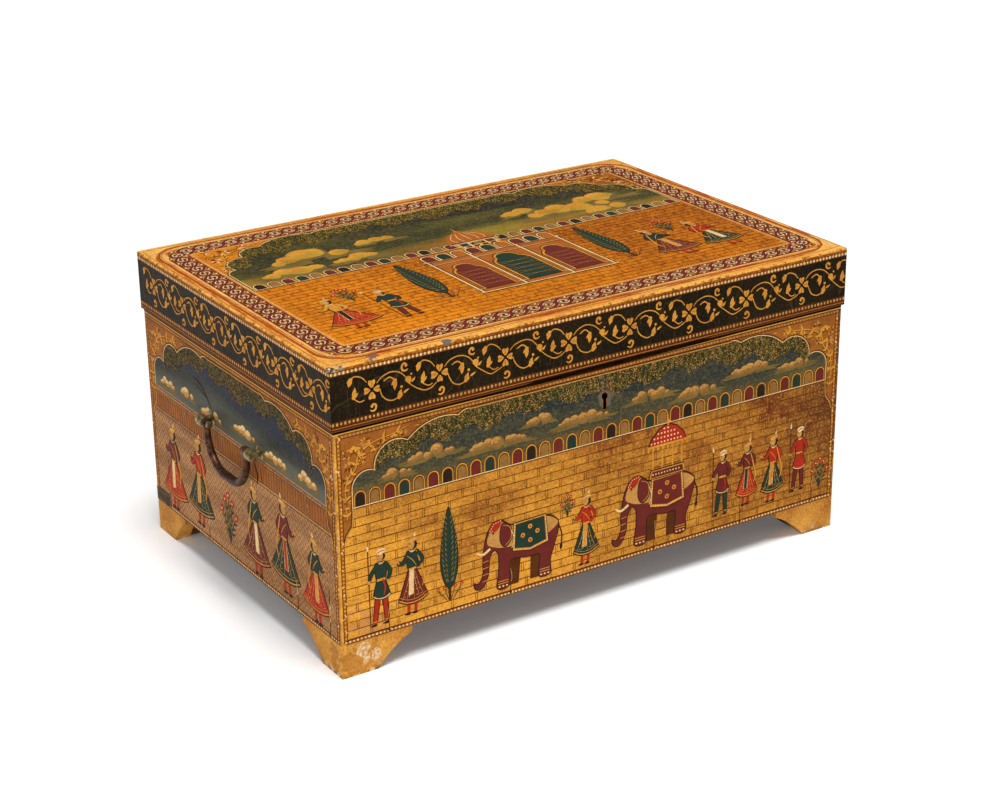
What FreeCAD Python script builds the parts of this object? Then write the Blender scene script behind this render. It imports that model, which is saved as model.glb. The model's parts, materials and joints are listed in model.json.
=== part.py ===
import FreeCAD, Part
import os
import re

import Sketcher

# A painted wooden chest with a hinged lid, bracket feet, a drop handle at each end and a lock.
# Millimetres. The chest's length runs along X, its front faces -Y and +Z is up.
# The origin lies on the floor, under the middle of the chest.

SIZES = {
    # boards of the body
    "body_length": 703,
    "body_depth": 473,
    "board_height": 254,
    "board_thickness": 18,
    "rim_dip": 4.5,
    # dovetails of the body and of the lid
    "pin_width": 9,
    "tail_slope_share": 0.16,
    # bottom board
    "bottom_thickness": 10,
    "bottom_lift": 9,
    "groove_depth": 6,
    # bracket feet
    "foot_height": 41,
    "foot_length": 90,
    "back_foot_length": 78,
    "foot_flat": 45,
    "foot_step": 7,
    "foot_cove": 3.5,
    "foot_thickness": 20,
    "block_side": 28,
    "block_lift": 3,
    # repair let into the lower back corner of the left end
    "patch_length": 37,
    "patch_height": 19,
    "patch_depth": 6,
    "patch_recess": 0.6,
    "patch_joint": 0.5,
    # lid
    "lid_gap": 0.8,
    "lid_overhang": 2.5,
    "lid_rail_height": 67.2,
    "lid_panel_thickness": 6,
    "nosing": 1,
    "panel_corner_round": 2,
    "panel_top_round": 3.2,
    "panel_foot_round": 1.6,
    # butt hinges
    "hinge_length": 76,
    "hinge_inset": 130,
    "hinge_axis_out": 0.5,
    "leaf_width": 16,
    "leaf_thickness": 1.6,
    "knuckle_radius": 3,
    "hinge_pin_radius": 1.5,
    "hinge_pin_clearance": 0.08,
    "knuckle_clearance": 0.4,
    # wood screws
    "screw_head_radius": 3,
    "screw_head_height": 1.6,
    "screw_shank_radius": 1.5,
    "screw_length": 14,
    "screw_slot_width": 0.8,
    "screw_slot_depth": 0.7,
    "screw_inset": 9,
    # lock let into the back of the front board
    "lock_width": 66,
    "lock_height": 60,
    "lock_depth": 11,
    "lock_wall": 1.5,
    "lock_rim_drop": 0.3,
    "lock_plate_margin": 8,
    "lock_plate_thickness": 1.6,
    "keyhole_drop": 34,
    "keyhole_height": 21,
    "keyhole_head_radius": 4.5,
    "keyhole_slot_width": 4.5,
    # sliding bolt
    "bolt_bar_height": 6,
    "bolt_bar_length": 44,
    "bolt_thickness": 4,
    "bolt_travel": 8,
    "prong_lift": 6,
    "prong_height": 4,
    "prong_thickness": 3,
    "riser_width": 5,
    "talon_width": 9,
    "talon_depth": 2,
    "bolt_clearance": 0.3,
    "guide_height": 3,
    "guide_width": 16,
    # staples under the lid
    "staple_spacing": 28,
    "staple_width": 7,
    "staple_thickness": 4,
    "staple_eye_height": 5.6,
    "staple_eye_width": 4,
    "staple_web": 2.4,
    "staple_plate_length": 62,
    "staple_plate_thickness": 1.8,
    "staple_slot_clearance": 1,
    # drop handles
    "handle_height": 210,
    "handle_standoff": 12,
    "bail_span": 100,
    "bail_drop": 50,
    "bail_bend_radius": 40,
    "bail_arm_radius": 4,
    "bail_grip_radius": 5.5,
    "eye_radius": 6,
    "eye_width": 8,
    "eye_clearance": 0.08,
    "eye_side_play": 0.4,
    "pivot_radius": 3,
    "rivet_radius": 4.4,
    "rivet_height": 1.8,
    "barrel_length": 15,
    "barrel_end_radius": 5.8,
    "barrel_swell": 1.2,
    "post_neck_radius": 4.2,
    "rosette_radius": 9,
    "rosette_rim": 0.8,
    "rosette_thickness": 2.2,
    "post_shank_radius": 3.2,
    "rove_radius": 8,
    "rove_thickness": 1.6,
    "rove_clearance": 0.15,
    "peen_radius": 5.2,
    "peen_height": 2,
    # what a cut runs past the face that it opens
    "overrun": 5,
}

BODY_TAILS = 5
LID_TAILS = 2
KNUCKLES = 5
SCREWS_PER_LEAF = 3

doc = FreeCAD.newDocument("damchiya_chest")
sheet = doc.addObject("Spreadsheet::Sheet", "sizes")
for row, (alias, size) in enumerate(SIZES.items(), start=1):
    sheet.set(f"A{row}", alias)
    sheet.set(f"B{row}", str(size))
    sheet.setAlias(f"B{row}", alias)
doc.recompute()

nodes = {}


# Expressions


def bound(text):
    """Write an expression's size names as cells of the sheet."""
    return re.sub(r"[a-z_]+", lambda word: word.group() if word.group() not in SIZES
                  else f"sizes.{word.group()}", text)


def value(text):
    """Work out an expression as a number."""
    return float(sheet.evalExpression(bound(text)))


def bind(item, name, text):
    item.setExpression(name, bound(text))


def keep(name, item):
    """Make an object a sub-part of the chest under its own label."""
    item.Label = name
    nodes[name] = item
    return item


# Plain solids and their combinations


def place(item, at):
    for axis, text in zip("xyz", at):
        bind(item, f"Placement.Base.{axis}", text)


def box(name, low, size):
    item = doc.addObject("Part::Box", name)
    for side, text in zip(("Length", "Width", "Height"), size):
        bind(item, side, text)
    place(item, low)
    return item


TURNS = {
    "x": FreeCAD.Rotation(FreeCAD.Vector(0, 1, 0), 90),
    "y": FreeCAD.Rotation(FreeCAD.Vector(1, 0, 0), -90),
    "z": FreeCAD.Rotation(),
}


def rod(name, start, radius, length, axis):
    item = doc.addObject("Part::Cylinder", name)
    item.Placement = FreeCAD.Placement(FreeCAD.Vector(), TURNS[axis])
    bind(item, "Radius", radius)
    bind(item, "Height", length)
    place(item, start)
    return item


def fuse(name, *pieces):
    item = doc.addObject("Part::MultiFuse", name)
    item.Shapes = list(pieces)
    return item


def cut(name, base, *tools):
    item = doc.addObject("Part::Cut", name)
    item.Base = base
    item.Tool = tools[0] if len(tools) == 1 else fuse(f"{name}_cutters", *tools)
    return item


def group(name, pieces):
    """Hold separate equal solids together as one sub-part."""
    item = doc.addObject("Part::Compound", name)
    item.Links = pieces
    return item


# Sketched solids


def plane_of(body, role):
    return next(item for item in body.Origin.OriginFeatures if item.Role == role)


def outline(body, name, plane, points, bows=None):
    """Sketch a closed outline through points given as pairs of expressions.

    bows maps the number of a side to its rise, which makes that side an arc
    that bows to the left of its direction, or to the right if the flag is set.
    """
    bows = bows or {}
    sketch = body.newObject("Sketcher::SketchObject", name)
    sketch.AttachmentSupport = (plane_of(body, plane), [""])
    sketch.MapMode = "FlatFace"
    spots = [FreeCAD.Vector(value(across), value(up), 0) for across, up in points]
    count = len(points)
    swapped = set()
    for side in range(count):
        start = spots[side]
        end = spots[(side + 1) % count]
        if side not in bows:
            sketch.addGeometry(Part.LineSegment(start, end), False)
            continue
        rise, to_right = bows[side]
        left = FreeCAD.Vector(start.y - end.y, end.x - start.x, 0).normalize()
        middle = (start + end) / 2 + left * value(rise) * (-1 if to_right else 1)
        if not to_right:
            swapped.add(side)
            start, end = end, start
        sketch.addGeometry(Part.Arc(start, middle, end), False)
    for side in range(count):
        after = (side + 1) % count
        end_mark = 1 if side in swapped else 2
        start_mark = 2 if after in swapped else 1
        sketch.addConstraint(Sketcher.Constraint("Coincident", side, end_mark, after, start_mark))
    for side, (across, up) in enumerate(points):
        mark = 2 if side in swapped else 1
        for kind, text in (("DistanceX", across), ("DistanceY", up)):
            label = f"{kind[-1]}_{side}"
            number = sketch.addConstraint(Sketcher.Constraint(kind, -1, 1, side, mark, value(text)))
            sketch.renameConstraint(number, label)
            bind(sketch, f"Constraints.{label}", text)
    for side, (rise, _) in bows.items():
        first = points[side]
        last = points[(side + 1) % count]
        chord = f"((({last[0]}) - ({first[0]})) ^ 2 + (({last[1]}) - ({first[1]})) ^ 2)"
        radius = f"{chord} / (8 * ({rise})) + ({rise}) / 2"
        number = sketch.addConstraint(Sketcher.Constraint("Radius", side, value(radius)))
        sketch.renameConstraint(number, f"radius_{side}")
        bind(sketch, f"Constraints.radius_{side}", radius)
    return sketch


def pad(body, name, sketch, length, back=False):
    item = body.newObject("PartDesign::Pad", name)
    item.Profile = sketch
    item.Reversed = back
    bind(item, "Length", length)
    return item


def turn(body, name, sketch, axis):
    """Revolve an outline about one of the body's own axes."""
    item = body.newObject("PartDesign::Revolution", name)
    item.Profile = sketch
    item.ReferenceAxis = (plane_of(body, axis), [""])
    item.Angle = 360
    return item


def fillet(body, name, base, edges, radius):
    item = body.newObject("PartDesign::Fillet", name)
    item.Base = (base, edges)
    bind(item, "Radius", radius)
    return item


# Places that several pieces share

half_length = "(body_length / 2)"
half_depth = "(body_depth / 2)"
inner_length = "(body_length / 2 - board_thickness)"
inner_depth = "(body_depth / 2 - board_thickness)"
board_top = "(foot_height + board_height)"
rim_low = f"({board_top} - rim_dip)"
lid_low = f"({board_top} + lid_gap)"
rail_top = f"({lid_low} + lid_rail_height)"
skirt_length = "(body_length / 2 + lid_overhang)"
skirt_depth = "(body_depth / 2 + lid_overhang)"
rail_thickness = "(board_thickness + lid_overhang)"


def dovetailed(half, thickness, low, height, tails, slope="tail_slope_share"):
    """Give the outline of a board with tails at both ends, from its lower right corner round."""
    inner = f"({half} - {thickness})"
    pitch = f"({height} / {tails})"
    lean = f"({thickness} * {slope})"
    right = [(inner, low)]
    for tail in range(tails):
        foot = f"({low} + {tail} * {pitch} + pin_width / 2)"
        head = f"({low} + {tail + 1} * {pitch} - pin_width / 2)"
        right.append((inner, f"({foot} + {lean})"))
        right.append((half, foot))
        right.append((half, head))
        right.append((inner, f"({head} - {lean})"))
    right.append((inner, f"({low} + {height})"))
    left = [(f"(-{across})", up) for across, up in reversed(right)]
    return right + left, len(right) - 1


def dovetailed_board(name, face, half, thickness, end_thickness, low, height, tails, dip=None):
    """Make a tailed board whose front face looks towards -Y; face is its back face's place."""
    body = doc.addObject("PartDesign::Body", name)
    points, top_side = dovetailed(half, end_thickness, low, height, tails)
    bows = {top_side: (dip, False)} if dip else None
    sketch = outline(body, f"{name}_outline", "XZ_Plane", points, bows)
    pad(body, f"{name}_pad", sketch, thickness)
    place(body, ("0", face, "0"))
    return body


# Bottom board

bottom_low = "(foot_height + bottom_lift)"
bottom_board = keep("bottom_board", box(
    "bottom_board",
    (f"-({inner_length} + groove_depth)", f"-({inner_depth} + groove_depth)", bottom_low),
    (f"2 * ({inner_length} + groove_depth)", f"2 * ({inner_depth} + groove_depth)", "bottom_thickness")))

# Screws, each a flush slotted head on a plain shank


def screw(name, head, down, axis="z"):
    """Make one screw; down tells that it points towards the low end of its axis.

    Returns the solid that bores its hole and the slotted solid.
    """
    turns = {("z", True): (1, 180), ("z", False): (1, 0), ("y", True): (1, 90)}
    turned = FreeCAD.Rotation(FreeCAD.Vector(turns[axis, down][0], 0, 0), turns[axis, down][1])
    top = doc.addObject("Part::Cone", f"{name}_head")
    bind(top, "Radius1", "screw_head_radius")
    bind(top, "Radius2", "screw_shank_radius")
    bind(top, "Height", "screw_head_height")
    shank = doc.addObject("Part::Cylinder", f"{name}_shank")
    bind(shank, "Radius", "screw_shank_radius")
    bind(shank, "Height", "screw_length")
    for piece in (top, shank):
        piece.Placement = FreeCAD.Placement(FreeCAD.Vector(), turned)
        place(piece, head)
    whole = fuse(f"{name}_whole", top, shank)
    across, along, up = head
    reach = "screw_head_radius"
    if axis == "z":
        floor = f"({up} - screw_slot_depth)" if down else up
        slot_low = (f"({across} - {reach})", f"({along} - screw_slot_width / 2)", floor)
        slot_size = (f"2 * {reach}", "screw_slot_width", "screw_slot_depth")
    else:
        slot_low = (f"({across} - {reach})", f"({along} - screw_slot_depth)", f"({up} - screw_slot_width / 2)")
        slot_size = (f"2 * {reach}", "screw_slot_depth", "screw_slot_width")
    slot = box(f"{name}_slot", slot_low, slot_size)
    return whole, cut(name, whole, slot)


# Butt hinges: leaves let into the back board's top edge and the back rail's lower edge,
# with knuckles that stand half out at the back

axis_depth = f"({half_depth} + hinge_axis_out)"
axis_height = f"({board_top} + lid_gap / 2)"
leaf_front = f"({half_depth} - leaf_width)"
screw_line = f"({half_depth} - leaf_width / 2 - knuckle_radius / 2)"

body_cutters = []
lid_cutters = []
body_screws = []
lid_screws = []

for side, sign in (("left", "-1"), ("right", "1")):
    middle = f"({sign} * ({half_length} - hinge_inset))"
    start = f"({middle} - hinge_length / 2)"
    pitch = f"(hinge_length / {KNUCKLES})"
    leaf_size = ("hinge_length", f"({axis_depth} - {leaf_front})", "leaf_thickness")
    body_leaf = box(f"{side}_body_leaf_plate", (start, leaf_front, f"({board_top} - leaf_thickness)"), leaf_size)
    lid_leaf = box(f"{side}_lid_leaf_plate", (start, leaf_front, lid_low), leaf_size)
    recess = rod(f"{side}_knuckle_recess", (f"({start} - knuckle_clearance)", axis_depth, axis_height),
                 "knuckle_radius + knuckle_clearance", "hinge_length + 2 * knuckle_clearance", "x")
    body_cutters += [body_leaf, recess]
    lid_cutters += [lid_leaf, recess]
    bore = rod(f"{side}_hinge_bore", (f"({start} - overrun)", axis_depth, axis_height),
               "hinge_pin_radius + hinge_pin_clearance", "hinge_length + 2 * overrun", "x")
    knuckles = {"body": [], "lid": []}
    reliefs = {"body": [], "lid": []}
    for number in range(KNUCKLES):
        owner, other = ("body", "lid") if number % 2 == 0 else ("lid", "body")
        shortened = "knuckle_clearance / 2"
        knuckles[owner].append(rod(
            f"{side}_knuckle_{number}",
            (f"({start} + {number} * {pitch} + {shortened})", axis_depth, axis_height),
            "knuckle_radius", f"{pitch} - 2 * {shortened}", "x"))
        reliefs[other].append(rod(
            f"{side}_relief_{number}",
            (f"({start} + {number} * {pitch} - {shortened})", axis_depth, axis_height),
            "knuckle_radius + knuckle_clearance", f"{pitch} + 2 * {shortened}", "x"))
    for owner, plate, place_up, down, screws, cutters in (
            ("body", body_leaf, board_top, True, body_screws, body_cutters),
            ("lid", lid_leaf, lid_low, False, lid_screws, lid_cutters)):
        holes = []
        for number in range(SCREWS_PER_LEAF):
            share = f"({number} / {SCREWS_PER_LEAF - 1})"
            across = f"({start} + screw_inset + (hinge_length - 2 * screw_inset) * {share})"
            hole, slotted = screw(f"{side}_{owner}_screw_{number}", (across, screw_line, place_up), down)
            holes.append(hole)
            screws.append(slotted)
        cutters += holes
        solid = fuse(f"{side}_{owner}_leaf_solid", plate, *knuckles[owner])
        keep(f"{side}_hinge_{owner}_leaf",
             cut(f"{side}_hinge_{owner}_leaf", solid, bore, *reliefs[owner], *holes))
    keep(f"{side}_hinge_pin", rod(f"{side}_hinge_pin", (start, axis_depth, axis_height),
                                  "hinge_pin_radius", "hinge_length", "x"))

keep("hinge_body_screws", group("hinge_body_screws", body_screws))
keep("hinge_lid_screws", group("hinge_lid_screws", lid_screws))

# Lock: an open iron case let into the front board, closed by a plate whose folded top edge
# has a slot for each of the lid's staples

lock_top = f"({rim_low} - lock_rim_drop)"
lock_low = f"({lock_top} - lock_height)"
lock_front = f"(-{inner_depth} - lock_depth)"
lock_inside = f"({lock_front} + lock_wall)"
case_top = f"({lock_top} - lock_plate_thickness)"

mortise = box("lock_mortise", ("-lock_width / 2", lock_front, lock_low),
              ("lock_width", "lock_depth + overrun", "lock_height + lock_rim_drop + rim_dip + overrun"))

keyhole_top = f"({board_top} - keyhole_drop)"
keyhole_head = f"({keyhole_top} - keyhole_head_radius)"
keyhole = fuse(
    "keyhole",
    rod("keyhole_head", ("0", f"(-{half_depth} - overrun)", keyhole_head),
        "keyhole_head_radius", f"{half_depth} - {inner_depth} + overrun", "y"),
    box("keyhole_slot",
        ("-keyhole_slot_width / 2", f"(-{half_depth} - overrun)", f"({keyhole_top} - keyhole_height)"),
        ("keyhole_slot_width", f"{half_depth} - {inner_depth} + overrun",
         "keyhole_height - keyhole_head_radius")))

bar_low = f"({keyhole_top} + bolt_clearance)"
bar_top = f"({bar_low} + bolt_bar_height)"
bolt_middle = f"(({lock_inside} - {inner_depth}) / 2)"

case_block = box("case_block", ("-lock_width / 2", lock_front, lock_low),
                 ("lock_width", "lock_depth", f"{case_top} - {lock_low}"))
case_hollow = box("case_hollow", ("-lock_width / 2 + lock_wall", lock_inside, f"({lock_low} + lock_wall)"),
                  ("lock_width - 2 * lock_wall", "lock_depth + overrun", "lock_height + overrun"))
guides = [
    box(f"{side}_bolt_guide", (low, lock_inside, f"({bar_low} - bolt_clearance - guide_height)"),
        ("guide_width", "lock_depth - lock_wall", "guide_height"))
    for side, low in (("left", "-lock_width / 2 + lock_wall"), ("right", "lock_width / 2 - lock_wall - guide_width"))]
lock_case = keep("lock_case", cut("lock_case", fuse(
    "lock_case_solid", cut("lock_tray", case_block, case_hollow), *guides), keyhole))

staple_line = f"({bolt_middle})"
staple_places = [("left", "(-staple_spacing / 2)"), ("right", "(staple_spacing / 2)")]
slots = [
    box(f"{side}_staple_slot",
        (f"({across} - staple_thickness / 2 - staple_slot_clearance)",
         f"({staple_line} - staple_width / 2 - 1.5 * staple_slot_clearance)", f"({case_top} - overrun)"),
        ("staple_thickness + 2 * staple_slot_clearance", "staple_width + 2 * staple_slot_clearance",
         "lock_plate_thickness + 2 * overrun"))
    for side, across in staple_places]
back_plate = box(
    "lock_back_plate",
    ("-lock_width / 2 - lock_plate_margin", f"(-{inner_depth})", f"({lock_low} - lock_plate_margin)"),
    ("lock_width + 2 * lock_plate_margin", "lock_plate_thickness", "lock_height + lock_plate_margin"))
top_plate = box("lock_top_plate", ("-lock_width / 2", lock_front, case_top),
                ("lock_width", "lock_depth + lock_plate_thickness", "lock_plate_thickness"))

lock_holes = []
lock_screws = []
for side, across in (("left", "(-lock_width / 2 - lock_plate_margin / 2)"),
                     ("right", "(lock_width / 2 + lock_plate_margin / 2)")):
    for level, up in (("lower", f"({lock_low} - lock_plate_margin / 2)"),
                      ("upper", f"({lock_top} - lock_plate_margin)")):
        hole, slotted = screw(f"lock_screw_{side}_{level}",
                              (across, f"(-{inner_depth} + lock_plate_thickness)", up), True, "y")
        lock_holes.append(hole)
        lock_screws.append(slotted)
lock_plate = keep("lock_plate", cut("lock_plate", fuse("lock_plate_solid", back_plate, top_plate),
                                    *slots, *lock_holes))
keep("lock_screws", group("lock_screws", lock_screws))

# Sliding bolt: a bar with two hooked prongs that pass through the staples' eyes

prong_low = f"({bar_top} + prong_lift)"
prong_top = f"({prong_low} + prong_height)"
prong_pieces = []
riser_starts = []
for side, across in staple_places:
    tip = f"({across} - staple_thickness / 2 - bolt_clearance)"
    riser_start = f"({tip} - bolt_travel - riser_width)"
    riser_starts.append(riser_start)
    prong_pieces.append(box(
        f"{side}_riser", (riser_start, f"({bolt_middle} - prong_thickness / 2)", bar_low),
        ("riser_width", "prong_thickness", f"{prong_top} - {bar_low}")))
    prong_pieces.append(box(
        f"{side}_prong", (riser_start, f"({bolt_middle} - prong_thickness / 2)", prong_low),
        (f"{tip} - {riser_start}", "prong_thickness", "prong_height")))
bar = box("bolt_bar", (riser_starts[0], f"({bolt_middle} - bolt_thickness / 2)", bar_low),
          ("bolt_bar_length", "bolt_thickness", "bolt_bar_height"))
talon = box("bolt_talon", ("-talon_width / 2", f"({bolt_middle} - bolt_thickness)", f"({bar_low} - overrun)"),
            ("talon_width", "2 * bolt_thickness", "talon_depth + overrun"))
keep("lock_bolt", cut("lock_bolt", fuse("lock_bolt_solid", bar, *prong_pieces), talon))

# Staple plate, let into the lower edge of the lid's front rail

eye_low = f"({prong_low} + prong_height / 2 - staple_eye_height / 2)"
staple_low = f"({eye_low} - staple_web)"
staple_plate = box("staple_plate_strip",
                   ("-staple_plate_length / 2", f"({staple_line} - staple_width / 2)", lid_low),
                   ("staple_plate_length", f"-{inner_depth} - {staple_line} + staple_width / 2",
                    "staple_plate_thickness"))
staples = [
    box(f"{side}_staple",
        (f"({across} - staple_thickness / 2)", f"({staple_line} - staple_width / 2)", staple_low),
        ("staple_thickness", "staple_width", f"{lid_low} - {staple_low}"))
    for side, across in staple_places]
eyes = [
    box(f"{side}_staple_eye",
        (f"({across} - staple_thickness)", f"({staple_line} - staple_eye_width / 2)", eye_low),
        ("2 * staple_thickness", "staple_eye_width", "staple_eye_height"))
    for side, across in staple_places]
staple_holes = []
staple_screws = []
for side, across in (("left", "(-staple_plate_length / 2 + screw_inset / 2)"),
                     ("right", "(staple_plate_length / 2 - screw_inset / 2)")):
    hole, slotted = screw(f"staple_screw_{side}", (across, f"({staple_line})", lid_low), False)
    staple_holes.append(hole)
    staple_screws.append(slotted)
keep("lid_staple_plate", cut("lid_staple_plate", fuse("staple_solid", staple_plate, *staples),
                             *eyes, *staple_holes))
keep("staple_screws", group("staple_screws", staple_screws))

# Handles: brass posts through the ends, a bail of tapered iron hanging between each pair

post_line = "(bail_span / 2 + eye_width / 2 + eye_side_play + barrel_length / 2)"
handle_lines = {
    "left": f"(-({half_length} + handle_standoff))",
    "right": f"({half_length} + handle_standoff)",
}


POST_TURNS = {
    ("left", "back"): FreeCAD.Rotation(),
    ("left", "front"): FreeCAD.Rotation(FreeCAD.Vector(1, 0, 0), 180),
    ("right", "back"): FreeCAD.Rotation(FreeCAD.Vector(0, 1, 0), 180),
    ("right", "front"): FreeCAD.Rotation(FreeCAD.Vector(0, 0, 1), 180),
}


def post(name, side, end):
    """Make one brass post: a swelling barrel with a riveted pivot, on a shank through the board.

    It is drawn as the left handle's back post and turned by half a circle for the others.
    """
    body = doc.addObject("PartDesign::Body", name)
    pivot_end = "(barrel_length / 2 + eye_width + 2 * eye_side_play)"
    barrel = [
        ("0", "barrel_length / 2"),
        ("barrel_end_radius", "barrel_length / 2"),
        ("barrel_end_radius", "-barrel_length / 2"),
        ("pivot_radius", "-barrel_length / 2"),
        ("pivot_radius", f"-{pivot_end}"),
        ("rivet_radius", f"-{pivot_end}"),
        ("0", f"-({pivot_end} + rivet_height)"),
    ]
    # the barrel's flank swells outward, and the rivet's head is domed
    bows = {1: ("barrel_swell", False), 5: ("rivet_height / 4", False)}
    turn(body, f"{name}_barrel", outline(body, f"{name}_barrel_outline", "XY_Plane", barrel, bows), "Y_Axis")
    board = "handle_standoff"
    shank_end = "(handle_standoff + board_thickness + rove_thickness)"
    shank = [
        ("0", "0"),
        ("0", "post_neck_radius"),
        (f"({board} - rosette_thickness)", "post_neck_radius"),
        (f"({board} - rosette_rim)", "rosette_radius"),
        (board, "rosette_radius"),
        (board, "post_shank_radius"),
        (shank_end, "post_shank_radius"),
        (shank_end, "peen_radius"),
        (f"({shank_end} + peen_height)", "peen_radius / 2"),
        (f"({shank_end} + peen_height)", "0"),
    ]
    turn(body, f"{name}_shank", outline(body, f"{name}_shank_outline", "XY_Plane", shank), "X_Axis")
    body.Placement = FreeCAD.Placement(FreeCAD.Vector(), POST_TURNS[side, end])
    line_sign = "-1" if end == "front" else "1"
    place(body, (handle_lines[side], f"({line_sign} * {post_line})", "handle_height"))
    return body


def ring(body, name, plane, across, up, radius):
    """Sketch the round section of a bar at one place of its route."""
    sketch = body.newObject("Sketcher::SketchObject", name)
    sketch.AttachmentSupport = (plane_of(body, plane), [""])
    sketch.MapMode = "FlatFace"
    centre = FreeCAD.Vector(value(across), value(up), 0)
    sketch.addGeometry(Part.Circle(centre, FreeCAD.Vector(0, 0, 1), value(radius)), False)
    for kind, text in (("DistanceX", across), ("DistanceY", up)):
        number = sketch.addConstraint(Sketcher.Constraint(kind, -1, 1, 0, 3, value(text)))
        sketch.renameConstraint(number, f"centre_{kind[-1]}")
        bind(sketch, f"Constraints.centre_{kind[-1]}", text)
    number = sketch.addConstraint(Sketcher.Constraint("Radius", 0, value(radius)))
    sketch.renameConstraint(number, "thickness")
    bind(sketch, "Constraints.thickness", radius)
    return sketch


def bail_route(body, name):
    """Sketch the front half of the bail's middle line: down the arm, round the bend, along the grip."""
    half = "bail_span / 2"
    flat = "(bail_span / 2 - bail_bend_radius)"
    arm = "(bail_drop - bail_bend_radius)"
    stops = [(f"-({half})", "0"), (f"-({half})", f"-{arm}"), (f"-{flat}", "-bail_drop"), ("0", "-bail_drop")]
    route = body.newObject("Sketcher::SketchObject", name)
    route.AttachmentSupport = (plane_of(body, "YZ_Plane"), [""])
    route.MapMode = "FlatFace"
    spots = [FreeCAD.Vector(value(across), value(up), 0) for across, up in stops]
    slant = value("bail_bend_radius") * 0.5 ** 0.5
    bend = FreeCAD.Vector(-value(flat) - slant, -value(arm) - slant, 0)
    route.addGeometry(Part.LineSegment(spots[0], spots[1]), False)
    route.addGeometry(Part.Arc(spots[1], bend, spots[2]), False)
    route.addGeometry(Part.LineSegment(spots[2], spots[3]), False)
    for number in range(2):
        route.addConstraint(Sketcher.Constraint("Coincident", number, 2, number + 1, 1))
    for number, (across, up) in enumerate(stops):
        edge, mark = (number, 1) if number < 3 else (2, 2)
        for kind, text in (("DistanceX", across), ("DistanceY", up)):
            label = f"{kind[-1]}_{number}"
            index = route.addConstraint(Sketcher.Constraint(kind, -1, 1, edge, mark, value(text)))
            route.renameConstraint(index, label)
            bind(route, f"Constraints.{label}", text)
    index = route.addConstraint(Sketcher.Constraint("Radius", 1, value("bail_bend_radius")))
    route.renameConstraint(index, "bend")
    bind(route, "Constraints.bend", "bail_bend_radius")
    return route


def bail(name, side):
    """Make one bail: a bar that thickens towards the grip, with an eye at each end."""
    half = "bail_span / 2"
    body = doc.addObject("PartDesign::Body", f"{name}_bar")
    pipe = body.newObject("PartDesign::AdditivePipe", f"{name}_pipe")
    pipe.Profile = ring(body, f"{name}_arm", "XY_Plane", "0", f"-({half})", "bail_arm_radius")
    pipe.Spine = (bail_route(body, f"{name}_route"), [])
    pipe.Sections = [ring(body, f"{name}_grip", "XZ_Plane", "0", "-bail_drop", "bail_grip_radius")]
    pipe.Transformation = "Multisection"
    mirrored = body.newObject("PartDesign::Mirrored", f"{name}_halves")
    mirrored.Originals = [pipe]
    mirrored.MirrorPlane = (plane_of(body, "XZ_Plane"), [""])
    body.Tip = mirrored
    place(body, (handle_lines[side], "0", "handle_height"))
    eyes_of_bail = []
    holes = []
    for end, sign in (("front", "-1"), ("back", "1")):
        start = f"({sign} * {half} - eye_width / 2)"
        eyes_of_bail.append(rod(f"{name}_{end}_eye", (handle_lines[side], start, "handle_height"),
                                "eye_radius", "eye_width", "y"))
        holes.append(rod(f"{name}_{end}_hole", (handle_lines[side], f"({start} - overrun)", "handle_height"),
                         "pivot_radius + eye_clearance", "eye_width + 2 * overrun", "y"))
    return cut(name, fuse(f"{name}_solid", body, *eyes_of_bail), *holes)


post_bores = {"left": [], "right": []}
roves = []
for side in ("left", "right"):
    for end, sign in (("front", "-1"), ("back", "1")):
        along = f"({sign} * {post_line})"
        keep(f"{side}_{end}_post", post(f"{side}_{end}_post", side, end))
        low = f"-({half_length} + overrun)" if side == "left" else f"({inner_length} - overrun)"
        post_bores[side].append(rod(f"{side}_{end}_bore", (low, along, "handle_height"),
                                    "post_shank_radius", "board_thickness + 2 * overrun", "x"))
        rove_low = f"-{inner_length}" if side == "left" else f"({inner_length} - rove_thickness)"
        disc = rod(f"{side}_{end}_rove_disc", (rove_low, along, "handle_height"),
                   "rove_radius", "rove_thickness", "x")
        hole = rod(f"{side}_{end}_rove_hole", (f"({rove_low} - overrun)", along, "handle_height"),
                   "post_shank_radius + rove_clearance", "rove_thickness + 2 * overrun", "x")
        roves.append(cut(f"{side}_{end}_rove", disc, hole))
    keep(f"{side}_bail", bail(f"{side}_bail", side))
keep("handle_roves", group("handle_roves", roves))

# Boards of the body

front_blank = dovetailed_board("front_blank", f"(-{inner_depth})", half_length, "board_thickness",
                               "board_thickness", "foot_height", "board_height", BODY_TAILS, "rim_dip")
back_blank = dovetailed_board("back_blank", half_depth, half_length, "board_thickness",
                              "board_thickness", "foot_height", "board_height", BODY_TAILS)
patch_pocket = box(
    "patch_pocket",
    (f"(-{half_length} - overrun)", f"({half_depth} - patch_length)", "(foot_height - overrun)"),
    ("patch_depth + overrun", "patch_length + overrun", "patch_height + overrun"))
keep("front_board", cut("front_board", front_blank, bottom_board, mortise, keyhole, *lock_holes))
keep("back_board", cut("back_board", back_blank, bottom_board, patch_pocket, *body_cutters))
end_size = ("board_thickness", "body_depth", "board_height")
for side, low in (("left", f"-{half_length}"), ("right", inner_length)):
    blank = box(f"{side}_end_blank", (low, f"-{half_depth}", "foot_height"), end_size)
    jointed = cut(f"{side}_end_jointed", blank, front_blank, back_blank)
    tools = [bottom_board, *post_bores[side]]
    if side == "left":
        tools.append(patch_pocket)
    keep(f"{side}_end_board", cut(f"{side}_end_board", jointed, *tools))
keep("corner_patch", box(
    "corner_patch",
    (f"(-{half_length} + patch_recess)", f"({half_depth} - patch_length + patch_joint)", "foot_height"),
    ("patch_depth - patch_recess", "patch_length - patch_joint", "patch_height - patch_joint")))

# Bracket feet, mitred at the corners, each pair with a glue block behind it


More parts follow.
